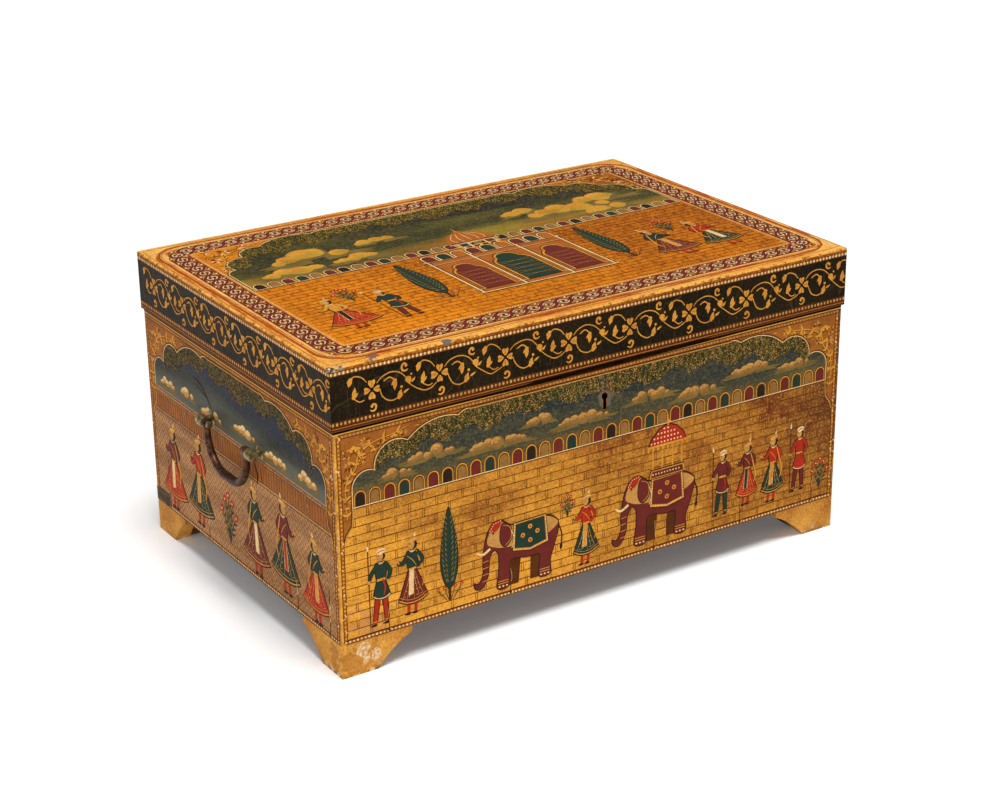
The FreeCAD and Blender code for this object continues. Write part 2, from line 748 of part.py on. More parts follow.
def bracket(name, along, across_sign, depth_sign, length):
    """Make one bracket at a corner; along is the axis that its face runs along."""
    body = doc.addObject("PartDesign::Body", name)
    run_sign, in_sign = (across_sign, depth_sign) if along == "x" else (depth_sign, across_sign)
    plane = "XZ_Plane" if along == "x" else "YZ_Plane"
    profile = [
        ("0", "0"),
        (f"{-run_sign} * foot_flat", "0"),
        (f"{-run_sign} * {length}", "foot_height - foot_step"),
        (f"{-run_sign} * {length}", "foot_height"),
        ("0", "foot_height"),
    ]
    sketch = outline(body, f"{name}_outline", plane, profile, {1: ("foot_cove", run_sign > 0)})
    # a sketch on the XZ plane pads towards -Y, one on the YZ plane towards +X
    pads_inward = in_sign > 0 if along == "x" else in_sign < 0
    pad(body, f"{name}_pad", sketch, "foot_thickness", back=not pads_inward)
    near = "-overrun"
    far = "(foot_thickness + overrun)"
    mitre = [(near, near), (far, far), (near, far)] if along == "x" else [(near, near), (far, far), (far, near)]
    mitre = [(f"{-across_sign} * {run}", f"{-depth_sign} * {deep}") for run, deep in mitre]
    corner = outline(body, f"{name}_mitre_outline", "XY_Plane", mitre)
    pocket = body.newObject("PartDesign::Pocket", f"{name}_mitre")
    pocket.Profile = corner
    pocket.SideType = "Symmetric"
    bind(pocket, "Length", "2 * foot_height + 2 * overrun")
    place(body, (f"{across_sign} * {half_length}", f"{depth_sign} * {half_depth}", "0"))
    return body


for end, depth_sign in (("front", -1), ("back", 1)):
    for side, across_sign in (("left", -1), ("right", 1)):
        foot = f"{end}_{side}_foot"
        side_length = "foot_length" if end == "front" else "back_foot_length"
        keep(f"{foot}_{end}", bracket(f"{foot}_{end}", "x", across_sign, depth_sign, "foot_length"))
        keep(f"{foot}_side", bracket(f"{foot}_side", "y", across_sign, depth_sign, side_length))
        low = [f"({half_length} - foot_thickness - block_side)", f"({half_depth} - foot_thickness - block_side)"]
        across = low[0] if across_sign > 0 else f"-({low[0]} + block_side)"
        deep = low[1] if depth_sign > 0 else f"-({low[1]} + block_side)"
        keep(f"{foot}_block", box(f"{foot}_block", (across, deep, "block_lift"),
                                  ("block_side", "block_side", "foot_height - block_lift")))

# Lid: four dovetailed rails under a panel with a rounded edge

lid_front_blank = dovetailed_board("lid_front_blank", f"(-{skirt_depth} + {rail_thickness})", skirt_length,
                                   rail_thickness, rail_thickness, lid_low, "lid_rail_height", LID_TAILS)
lid_back_blank = dovetailed_board("lid_back_blank", skirt_depth, skirt_length, rail_thickness,
                                  rail_thickness, lid_low, "lid_rail_height", LID_TAILS)
keep("lid_front_rail", cut("lid_front_rail", lid_front_blank, staple_plate, *staple_holes))
keep("lid_back_rail", cut("lid_back_rail", lid_back_blank, *lid_cutters))
for side, low in (("left", f"-{skirt_length}"), ("right", f"({skirt_length} - {rail_thickness})")):
    blank = box(f"lid_{side}_blank", (low, f"-{skirt_depth}", lid_low),
                (rail_thickness, f"2 * {skirt_depth}", "lid_rail_height"))
    keep(f"lid_{side}_rail", cut(f"lid_{side}_rail", blank, lid_front_blank, lid_back_blank))

panel = doc.addObject("PartDesign::Body", "lid_panel")
panel_half = (f"({skirt_length} + nosing)", f"({skirt_depth} + nosing)")
panel_corners = [(f"({across} * {panel_half[0]})", f"({deep} * {panel_half[1]})")
                 for across, deep in (("-1", "-1"), ("1", "-1"), ("1", "1"), ("-1", "1"))]
panel_pad = pad(panel, "panel_pad", outline(panel, "panel_outline", "XY_Plane", panel_corners),
                "lid_panel_thickness")
place(panel, ("0", "0", rail_top))
doc.recompute()
upright = [f"Edge{number}" for number, edge in enumerate(panel_pad.Shape.Edges, start=1)
           if abs(edge.tangentAt(edge.FirstParameter).z) > 0.9]
corners = fillet(panel, "panel_corners", panel_pad, upright, "panel_corner_round")
doc.recompute()


def level_faces(shape, up):
    return [f"Face{number}" for number, face in enumerate(shape.Faces, start=1)
            if up * face.normalAt(0, 0).z > 0.9]


top_round = fillet(panel, "panel_top_edge", corners, level_faces(corners.Shape, 1), "panel_top_round")
doc.recompute()
fillet(panel, "panel_foot_edge", top_round, level_faces(top_round.Shape, -1), "panel_foot_round")
keep("lid_panel", panel)

# Everything is worked out, looked over and written

doc.recompute()
faults = [item.Name for item in doc.Objects if "Invalid" in item.State or "Error" in item.State]
for name, item in nodes.items():
    if item.Shape.isNull() or not item.Shape.isValid() or not item.Shape.Solids:
        faults.append(name)
if faults:
    raise RuntimeError(f"these failed: {sorted(set(faults))}")
os.makedirs("parts", exist_ok=True)
for name, item in nodes.items():
    item.Shape.exportStep(f"parts/{name}.step")
    extent = item.Shape.BoundBox
    print(f"{name}: {len(item.Shape.Solids)} solid(s), {item.Shape.Volume:.0f} mm3, "
          f"x {extent.XMin:.1f} to {extent.XMax:.1f}, y {extent.YMin:.1f} to {extent.YMax:.1f}, "
          f"z {extent.ZMin:.1f} to {extent.ZMax:.1f}")
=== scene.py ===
"""A painted and varnished wooden chest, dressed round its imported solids. Blender works in metres."""

import json
import logging
import math
import random
from collections import defaultdict
from dataclasses import dataclass, field, replace
from enum import Enum
from typing import Any, Callable

import bpy
from mathutils import Matrix, Vector


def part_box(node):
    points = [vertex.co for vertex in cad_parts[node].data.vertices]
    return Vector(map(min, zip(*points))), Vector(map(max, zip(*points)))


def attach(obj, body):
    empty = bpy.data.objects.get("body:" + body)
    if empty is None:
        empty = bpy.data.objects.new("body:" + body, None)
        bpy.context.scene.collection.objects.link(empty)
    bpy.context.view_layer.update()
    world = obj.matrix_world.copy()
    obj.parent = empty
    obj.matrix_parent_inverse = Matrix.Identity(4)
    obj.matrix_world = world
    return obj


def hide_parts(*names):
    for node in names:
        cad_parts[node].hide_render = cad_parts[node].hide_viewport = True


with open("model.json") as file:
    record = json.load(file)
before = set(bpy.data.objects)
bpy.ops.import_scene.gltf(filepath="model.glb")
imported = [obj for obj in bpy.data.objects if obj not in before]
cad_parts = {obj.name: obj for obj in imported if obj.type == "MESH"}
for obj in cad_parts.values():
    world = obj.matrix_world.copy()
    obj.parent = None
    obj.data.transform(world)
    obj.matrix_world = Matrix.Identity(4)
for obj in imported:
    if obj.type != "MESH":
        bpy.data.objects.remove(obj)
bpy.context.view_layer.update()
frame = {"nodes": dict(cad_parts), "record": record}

log = logging.getLogger("chest")

MM = 0.001
Point = tuple[float, float]
Triple = tuple[float, float, float]
Shade = tuple[int, int, int]
Socket = bpy.types.NodeSocket

# The keyhole's place on the front, and how far round it no paint lies
KEYHOLE = (0.0, 250.5, 12.0)


# Plain geometry of lines drawn on a face


def curve(points: list[Point], closed: bool = False, steps: int = 5) -> list[Point]:
    """Run a smooth line through points.

    Args:
        points: where the line passes.
        closed: whether it returns to its start.
        steps: how many short runs make each span.
    Returns:
        The line's points.
    """
    count = len(points)
    line = []
    for span in range(count if closed else count - 1):
        marks = [span + step for step in (-1, 0, 1, 2)]
        if closed:
            a, b, c, d = (points[mark % count] for mark in marks)
        else:
            a, b, c, d = (points[min(max(mark, 0), count - 1)] for mark in marks)
        for step in range(steps):
            t = step / steps
            line.append(tuple(
                0.5 * (2 * b[i] + (c[i] - a[i]) * t
                       + (2 * a[i] - 5 * b[i] + 4 * c[i] - d[i]) * t ** 2
                       + (3 * b[i] - a[i] - 3 * c[i] + d[i]) * t ** 3)
                for i in (0, 1)))
    return line if closed else line + [points[-1]]


def lobes(start: Point, stops: list[Triple], steps: int = 8) -> list[Point]:
    """Run round lobes from cusp to cusp.

    Args:
        start: the first cusp.
        stops: each next cusp and how far its lobe rises to the left of the way.
        steps: how many short runs make each lobe.
    Returns:
        The line's points.
    """
    line = [start]
    for x, z, rise in stops:
        ahead = Vector((x - line[-1][0], z - line[-1][1]))
        left = ahead.orthogonal().normalized()
        first = Vector(line[-1])
        half = 2 * math.atan(2 * rise / ahead.length)
        radius = ahead.length / (2 * math.sin(half))
        for step in range(1, steps + 1):
            angle = half * (2 * step / steps - 1)
            along = 0.5 + radius * math.sin(angle) / ahead.length
            aside = radius * (math.cos(angle) - math.cos(half))
            line.append(tuple(first + ahead * along + left * aside))
    return line


def niche_outline(half: float, height: float) -> list[Point]:
    """Give a round-headed niche that stands on the line z = 0.

    Args:
        half: half its width.
        height: its height.
    Returns:
        The outline's points.
    """
    head = [(half * math.cos(math.radians(angle)), height - half + half * math.sin(math.radians(angle)))
            for angle in range(0, 181, 30)]
    return [(-half, 0), (half, 0)] + head


@dataclass(frozen=True)
class RoundedPath:
    """A rectangle with rounded corners about the origin, walked anticlockwise from its lower left."""

    half_x: float
    half_z: float
    radius: float

    @property
    def length(self) -> float:
        """The whole way round."""
        straight = 4 * (self.half_x + self.half_z - 2 * self.radius)
        return straight + 2 * math.pi * self.radius

    def at(self, distance: float, aside: float = 0.0) -> Point:
        """Find a place on the path.

        Args:
            distance: how far along, from the lower left corner's end.
            aside: how far outside the path.
        Returns:
            The place.
        """
        distance %= self.length
        run_x = 2 * (self.half_x - self.radius)
        run_z = 2 * (self.half_z - self.radius)
        bend = math.pi * self.radius / 2
        corner = Vector((-self.half_x + self.radius, -self.half_z + self.radius))
        ahead = Vector((1, 0))
        for run in (run_x, run_z, run_x, run_z):
            out = Vector((ahead.y, -ahead.x))
            if distance <= run:
                return tuple(corner + ahead * distance + out * (self.radius + aside))
            distance -= run
            corner = corner + ahead * run
            if distance <= bend:
                turn = distance / self.radius
                out = out * math.cos(turn) + ahead * math.sin(turn)
                return tuple(corner + out * (self.radius + aside))
            distance -= bend
            ahead = ahead.orthogonal()
        return tuple(corner)


def heading(turn: float) -> Vector:
    """Point a way, in degrees from the right."""
    return Vector((math.cos(math.radians(turn)), math.sin(math.radians(turn))))


# Finishes


def seen(shade: Shade) -> tuple[float, float, float, float]:
    """Turn a colour as seen on a screen, 0 to 255, into the shader's own."""
    parts = [part / 255 for part in shade]
    return (*(part / 12.92 if part <= 0.04045 else ((part + 0.055) / 1.055) ** 2.4 for part in parts), 1.0)


class Recipe:
    """The node graph of one finish, with short calls for the nodes that it uses."""

    gloss = 0.03

    def __init__(self, name: str) -> None:
        """Start an empty material that reads the piece's own coordinates.

        Args:
            name: the material's name.
        """
        self.material = bpy.data.materials.new(name)
        self.material.use_nodes = True
        self.tree = self.material.node_tree
        self.tree.nodes.clear()
        self.place = self.tree.nodes.new("ShaderNodeTexCoord").outputs["Object"]
        self.x, self.y, self.z = self.add("ShaderNodeSeparateXYZ", {0: self.place}).outputs

    def add(self, kind: str, inputs: dict[Any, Any], **settings: Any) -> bpy.types.Node:
        """Add a node and set or wire its inputs.

        Args:
            kind: the node's type in Blender.
            inputs: what each input gets, a value or another node's output.
            settings: the node's own settings.
        Returns:
            The node.
        """
        node = self.tree.nodes.new(kind)
        for name, setting in settings.items():
            setattr(node, name, setting)
        for key, given in inputs.items():
            if isinstance(given, Socket):
                self.tree.links.new(given, node.inputs[key])
            else:
                node.inputs[key].default_value = given
        return node

    def sum(self, operation: str, first: Any, second: Any) -> Socket:
        """Work out one sum and keep it between nought and one."""
        node = self.add("ShaderNodeMath", {0: first, 1: second}, operation=operation, use_clamp=True)
        return node.outputs[0]

    def times(self, first: Any, second: Any) -> Socket:
        """Multiply two shares."""
        return self.sum("MULTIPLY", first, second)

    def plus(self, first: Any, second: Any) -> Socket:
        """Add two shares."""
        return self.sum("ADD", first, second)

    def less(self, first: Any, second: Any) -> Socket:
        """Take the second share from the first."""
        return self.sum("SUBTRACT", first, second)

    def either(self, first: Any, second: Any) -> Socket:
        """Give the greater of two shares."""
        return self.sum("MAXIMUM", first, second)

    def span(self, given: Any, low: float, high: float, to_low: float = 0.0,
             to_high: float = 1.0) -> Socket:
        """Stretch the span from low to high over another one."""
        return self.add("ShaderNodeMapRange", {0: given, 1: low, 2: high, 3: to_low, 4: to_high}).outputs[0]

    def away(self, given: Any) -> Socket:
        """Give the distance from nought."""
        return self.add("ShaderNodeMath", {0: given}, operation="ABSOLUTE").outputs[0]

    def noise(self, scale: float, detail: float = 3.0, stretch: Triple = (1, 1, 1),
              shift: float = 0.0) -> Socket:
        """Add cloudy noise.

        Args:
            scale: how fine it is.
            detail: how many finer clouds it holds.
            stretch: how fine along each axis; below one draws it out.
            shift: how far it is moved from other noise.
        Returns:
            The noise.
        """
        place = self.add("ShaderNodeVectorMath", {0: self.place, 1: stretch, 2: (shift, shift, shift)},
                         operation="MULTIPLY_ADD").outputs[0]
        return self.add("ShaderNodeTexNoise", {"Vector": place, "Scale": scale, "Detail": detail}).outputs[0]

    def cracks(self, scale: float, width: float, stretch: Triple = (1, 1, 1)) -> Socket:
        """Add a net of fine cracks.

        Args:
            scale: how fine the net is.
            width: how wide a crack is.
            stretch: how fine along each axis.
        Returns:
            One where a crack runs.
        """
        wander = self.add("ShaderNodeTexNoise", {"Vector": self.place, "Scale": scale * 0.7}).outputs[1]
        bent = self.add("ShaderNodeVectorMath", {0: wander, 1: (0.4 / scale,) * 3, 2: self.place},
                        operation="MULTIPLY_ADD").outputs[0]
        place = self.add("ShaderNodeVectorMath", {0: bent, 1: stretch}, operation="MULTIPLY").outputs[0]
        cells = self.add("ShaderNodeTexVoronoi", {"Vector": place, "Scale": scale},
                         feature="DISTANCE_TO_EDGE")
        return self.span(cells.outputs[0], 0.0, width, 1.0, 0.0)

    def mix(self, share: Any, first: Any, second: Any, way: str = "MIX") -> Socket:
        """Mix two colours, each a shade or another node's.

        Args:
            share: how much of the second one shows.
            first, second: the colours.
            way: how the second one acts on the first.
        Returns:
            The mixed colour.
        """
        below, above = (seen(given) if isinstance(given, tuple) else given for given in (first, second))
        return self.add("ShaderNodeMix", {0: share, 6: below, 7: above}, data_type="RGBA",
                        blend_type=way).outputs[2]

    def outside(self, half_x: float, half_y: float, blur: float) -> Socket:
        """Mark what lies outside an upright box about the origin.

        Args:
            half_x, half_y: half its length and its depth in metres.
            blur: how far its edge fades outwards.
        Returns:
            One outside the box.
        """
        return self.either(self.span(self.away(self.x), half_x, half_x + blur),
                           self.span(self.away(self.y), half_y, half_y + blur))

    def mottled(self, colour: Any, light: Shade, dark: Shade, share: float) -> Socket:
        """Break a colour up with light and dark specks of two sizes.

        Args:
            colour: the colour below.
            light, dark: the specks' shades.
            share: how much they show.
        Returns:
            The broken colour.
        """
        for scale, shift, part in ((80.0, 7.0, 0.3), (330.0, 3.0, 1.0)):
            speck = self.noise(scale, 4.0, shift=shift)
            colour = self.mix(self.span(speck, 0.52, 0.66, 0.0, share * part), colour, dark)
            colour = self.mix(self.span(speck, 0.47, 0.34, 0.0, share * part), colour, light)
        return colour

    def wood(self, light: Shade = (128, 84, 48), dark: Shade = (84, 54, 32),
             stretch: Triple = (0.05, 0.05, 1.0)) -> Socket:
        """Give bare wood with fine pores.

        Args:
            light, dark: the shades of its grain.
            stretch: how fine the grain is along each axis.
        Returns:
            The wood's colour.
        """
        grain = self.noise(38.0, 8.0, stretch)
        colour = self.mix(self.span(grain, 0.34, 0.66), light, dark)
        pores = self.span(self.noise(520.0, 3.0, stretch), 0.5, 0.62, 0.0, 0.7)
        return self.mix(pores, colour, tuple(round(part * 0.66) for part in dark))

    def spot(self, place: Triple, reach: float, ragged: float = 0.8) -> Socket:
        """Mark a ragged patch.

        Args:
            place: its middle, in metres.
            reach: how far it goes, in metres.
            ragged: how torn its edge is, as a share of its reach.
        Returns:
            One inside the patch.
        """
        far = self.add("ShaderNodeVectorMath", {0: self.place, 1: place}, operation="DISTANCE").outputs[1]
        torn = self.span(self.noise(0.9 / reach, 5.0), 0.25, 0.75, -ragged * reach, ragged * reach)
        whole = self.add("ShaderNodeMath", {0: far, 1: torn}, operation="ADD").outputs[0]
        return self.span(whole, reach, reach * 0.88)

    def done(self, colour: Any, roughness: Any, bump: Any, depth: float = 0.0002,
             metallic: float = 0.0) -> bpy.types.Material:
        """Close the graph with its shader.

        Args:
            colour: the colour or where it comes from.
            roughness: the roughness or where it comes from.
            bump: where the fine relief comes from.
            depth: the relief's depth in metres.
            metallic: one for bare metal.
        Returns:
            The material.
        """
        relief = self.add("ShaderNodeBump", {"Strength": 1.0, "Distance": depth, "Height": bump})
        shader = self.add("ShaderNodeBsdfPrincipled", {
            "Base Color": colour, "Roughness": roughness, "Metallic": metallic,
            "Specular IOR Level": self.gloss, "Normal": relief.outputs[0]})
        self.add("ShaderNodeOutputMaterial", {0: shader.outputs[0]})
        return self.material


@dataclass(frozen=True)
class PotFinish:
    """One pot of paint under old varnish, thin in places."""

    full: Shade
    thin: Shade
    spread: float = 0.55
    roughness: float = 0.42

    def material(self, name: str) -> bpy.types.Material:
        """Mix the paint.

        Args:
            name: the material's name.
        Returns:
            The material.
        """
        recipe = Recipe(name)
        cloud = recipe.noise(38.0, 4.0)
        fine = recipe.noise(420.0, 3.0)
        share = recipe.span(cloud, 0.5 - self.spread / 2, 0.5 + self.spread / 2)
        grain = recipe.span(fine, 0.3, 0.75, 0.0, 0.55)
        both = recipe.plus(recipe.times(share, 0.75), recipe.times(grain, 0.6))
        colour = recipe.mix(both, self.full, self.thin)
        colour = recipe.mottled(colour, self.full, (64, 38, 18), 0.22)
        roughness = recipe.span(fine, 0.3, 0.7, self.roughness - 0.08, self.roughness + 0.1)
        return recipe.done(colour, roughness, bump=fine, depth=0.00012)


@dataclass(frozen=True)
class SkyFinish:
    """A dark evening sky that pales towards the walls below it, flat on the lid's top if it has no ends."""

    high: Shade
    middle: Shade
    low: Shade
    glow: Shade
    start: float
    full: float
    ends: tuple[Shade, ...] = ()
    rubbed: Triple = (0.003, -0.2365, 0.253)

    def material(self, name: str) -> bpy.types.Material:
        """Blend the sky.

        Args:
            name: the material's name.
        Returns:
            The material.
        """
        recipe = Recipe(name)
        rise = recipe.z if self.ends else recipe.y
        brushed = recipe.noise(11.0, 6.0, (0.3, 0.3, 2.2) if self.ends else (0.3, 1.8, 1.0))
        wander = recipe.span(brushed, 0.3, 0.7, -0.35, 0.35)
        level = recipe.add("ShaderNodeMath", {0: recipe.span(rise, self.start, self.full), 1: wander},
                           operation="ADD").outputs[0]
        top, low, glow_colour = self.high, self.low, self.glow
        if self.ends:
            on_end = recipe.span(recipe.away(recipe.x), 0.3514, 0.3516)
            top = recipe.mix(on_end, top, self.ends[0])
            low = recipe.mix(on_end, low, self.ends[1])
            glow_colour = recipe.mix(on_end, glow_colour, self.ends[1])
        colour = recipe.mix(recipe.span(level, 0.0, 0.45), low, self.middle)
        colour = recipe.mix(recipe.span(level, 0.4, 1.0), colour, top)
        glow = recipe.span(recipe.noise(6.0, 3.0, shift=3.0), 0.46, 0.62)
        glow = recipe.times(glow, recipe.span(level, 0.1, 0.75, 0.8, 0.0))
        colour = recipe.mix(glow, colour, glow_colour)
        fine = recipe.noise(420.0, 3.0, (0.25, 1.0, 1.0))
        colour = recipe.mix(recipe.span(fine, 0.4, 0.8, 0.0, 0.22), colour, (140, 118, 76))
        colour = recipe.mottled(colour, (146, 122, 76), (20, 24, 20), 0.28)
        if self.ends:
            colour = recipe.mix(on_end, colour, (184, 190, 226), "MULTIPLY")
            rubbed = recipe.times(recipe.spot(self.rubbed, 0.011, 1.0), 0.5)
            colour = recipe.mix(rubbed, colour, (128, 116, 98))
        return recipe.done(colour, 0.36, bump=fine, depth=0.0001)


class Paint(Enum):
    """The painter's pots; what fills the sky's is chosen by body."""

    GOLD = PotFinish((234, 168, 62), (190, 114, 36))
    CREAM = PotFinish((252, 222, 166), (222, 176, 106))
    BROWN = PotFinish((70, 33, 12), (102, 54, 20))
    INK = PotFinish((30, 25, 19), (50, 38, 26))
    RED = PotFinish((196, 52, 26), (152, 42, 26))
    MAROON = PotFinish((98, 32, 34), (118, 48, 36))
    GREEN = PotFinish((26, 50, 42), (44, 62, 46))
    MOSS = PotFinish((62, 60, 30), (38, 42, 24), 0.35)
    HAZE = PotFinish((140, 112, 56), (100, 84, 44), 0.4)
    TAN = PotFinish((216, 160, 82), (174, 120, 58))
    DUN = PotFinish((164, 116, 58), (128, 92, 46), 0.4)
    STRAW = PotFinish((214, 160, 52), (158, 122, 38), 0.4)
    LEAF = PotFinish((118, 112, 42), (80, 82, 30), 0.4)
    ORANGE = PotFinish((192, 110, 36), (156, 78, 26))
    RUST = PotFinish((182, 108, 40), (132, 76, 32), 0.45)
    SKY = "sky"


GOLD, CREAM, BROWN, INK, RED, MAROON, GREEN, MOSS, HAZE, TAN, DUN, STRAW, LEAF, ORANGE, RUST, SKY = Paint

SKIES = {
    "carcase": SkyFinish((34, 46, 47), (74, 70, 48), (142, 100, 46), (104, 100, 54), 0.198, 0.266,
                         ends=((48, 58, 66), (136, 136, 100))),
    "lid": SkyFinish((20, 24, 22), (62, 62, 20), (182, 120, 22), (150, 130, 36), 0.030, 0.150),
}


# Drawing on the faces


@dataclass(frozen=True)
class Face:
    """A flat painted face. Drawings on it are in millimetres from its origin."""

    origin: Vector
    across: Vector
    up: Vector
    half: float
    keep_out: Triple = (0.0, 0.0, 0.0)

    @property
    def out(self) -> Vector:
        """The way out of the wood."""
        return self.across.cross(self.up)

    def at(self, spot: Point, lift: float) -> Vector:
        """Place a drawn spot, lifted off the face by a length in metres."""
        return self.origin + (self.across * spot[0] + self.up * spot[1]) * MM + self.out * lift

    def free(self, spots: list[Point]) -> bool:
        """Tell whether a shape stays clear of the face's hole."""
        x, z, reach = self.keep_out
        return not any(math.hypot(spot[0] - x, spot[1] - z) < reach for spot in spots)


def clean() -> dict[Paint, list[list]]:
    """Give each pot an empty list of corners and one of faces."""
    return defaultdict(lambda: [[], []])


@dataclass
class Canvas:
    """All the paint on one body, sorted by pot, which becomes one piece for each pot."""

    body: str
    slot: str
    layer: float = 0.00011
    step: float = 0.0000004
    step_count: int = 97
    depth: float = 0.0009
    margin: float = 0.3
    bead_sides: int = 7
    bead_rise: float = 0.3
    flats: dict[Paint, list[list]] = field(default_factory=clean)
    beads: dict[Paint, list[list]] = field(default_factory=clean)
    laid: int = 0

    def lay(self, face: Face, paint: Paint, spots: list[Point], cells: list[list[int]], level: float) -> None:
        """Lay one shape of flat paint.

        Args:
            face: the face it lies on.
            paint: the pot.
            spots: its corners.
            cells: its faces, as numbers of corners, anticlockwise.
            level: how many layers of paint lie under its top.
        """
        if not face.free(spots):
            return
        edge = face.half - self.margin
        cells = [cell for cell in cells if min(spots[corner][0] for corner in cell) < edge
                 and max(spots[corner][0] for corner in cell) > -edge]
        self.laid += 1
        lift = self.layer * level + self.step * (self.laid % self.step_count)
        points, faces = self.flats[paint]
        kept = {corner: number for number, corner in enumerate(sorted({c for cell in cells for c in cell}))}
        start = len(points)
        points.extend(face.at((min(max(spots[corner][0], -edge), edge), spots[corner][1]), lift)
                      for corner in kept)
        faces.extend([start + kept[corner] for corner in cell] for cell in cells)

    def bead(self, face: Face, paint: Paint, spot: Point, wide: float, tall: float, level: float) -> None:
        """Set down one domed bead of thick paint, its sizes in millimetres.

        Args:
            face: the face it lies on.
            paint: the pot.
            spot: its middle.
            wide, tall: half its width and its height.
            level: how many layers lie under it.
        """
        if not face.free([spot]) or abs(spot[0]) + wide > face.half - self.margin:
            return
        points, faces = self.beads[paint]
        start = len(points)
        base = self.layer * level
        for share, height in ((1.0, -0.5), (1.0, 0.0), (0.66, 0.72)):
            for side in range(self.bead_sides):
                angle = math.tau * side / self.bead_sides
                there = (spot[0] + wide * share * math.cos(angle), spot[1] + tall * share * math.sin(angle))
                points.append(face.at(there, base + height * self.bead_rise * MM))
        points.append(face.at(spot, base + self.bead_rise * MM))
        count = self.bead_sides
        faces.append([start + side for side in reversed(range(count))])
        for side in range(count):
            after = (side + 1) % count
            for ring in (0, count):
                faces.append([start + ring + side, start + ring + after, start + ring + count + after,
                              start + ring + count + side])
            faces.append([start + 2 * count + side, start + 2 * count + after, start + 3 * count])

    def mesh_piece(self, name: str, points: list[Vector], faces: list[list[int]]) -> bpy.types.Object:
        """Make a mesh object and leave it alone selected.

        Args:
            name: its name.
            points: its corners in metres.
            faces: its faces, as numbers of corners.
        Returns:
            The object.
        """
        mesh = bpy.data.meshes.new(name)
        mesh.from_pydata(points, [], faces)
        piece = bpy.data.objects.new(name, mesh)
        bpy.context.scene.collection.objects.link(piece)
        bpy.ops.object.select_all(action="DESELECT")
        piece.select_set(True)
        bpy.context.view_layer.objects.active = piece
        return piece

    def finish(self) -> list[bpy.types.Object]:
        """Give each pot's paint its thickness and finish.

        Returns:
            The pieces.
        """
        pieces = []
        for paint in Paint:
            points, faces = self.flats[paint]
            bead_points, bead_faces = self.beads[paint]
            if not faces and not bead_faces:
                continue
            name = f"{self.body}_{paint.name.lower()}"
            piece = self.mesh_piece(name, points, faces)
            bpy.ops.object.modifier_add(type="SOLIDIFY")
            wall = piece.modifiers[-1]
            wall.thickness = self.depth
            wall.offset = -1
            bpy.ops.object.modifier_apply(modifier=wall.name)
            if bead_faces:
                self.mesh_piece(f"{name}_beads", bead_points, bead_faces)
                piece.select_set(True)
                bpy.context.view_layer.objects.active = piece
                bpy.ops.object.join()
                bpy.ops.object.shade_smooth_by_angle(angle=math.radians(50))
            finish = SKIES[self.body] if paint is SKY else paint.value
            piece.data.materials.append(finish.material(name))
            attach(piece, self.body)
            pieces.append(piece)
        return pieces


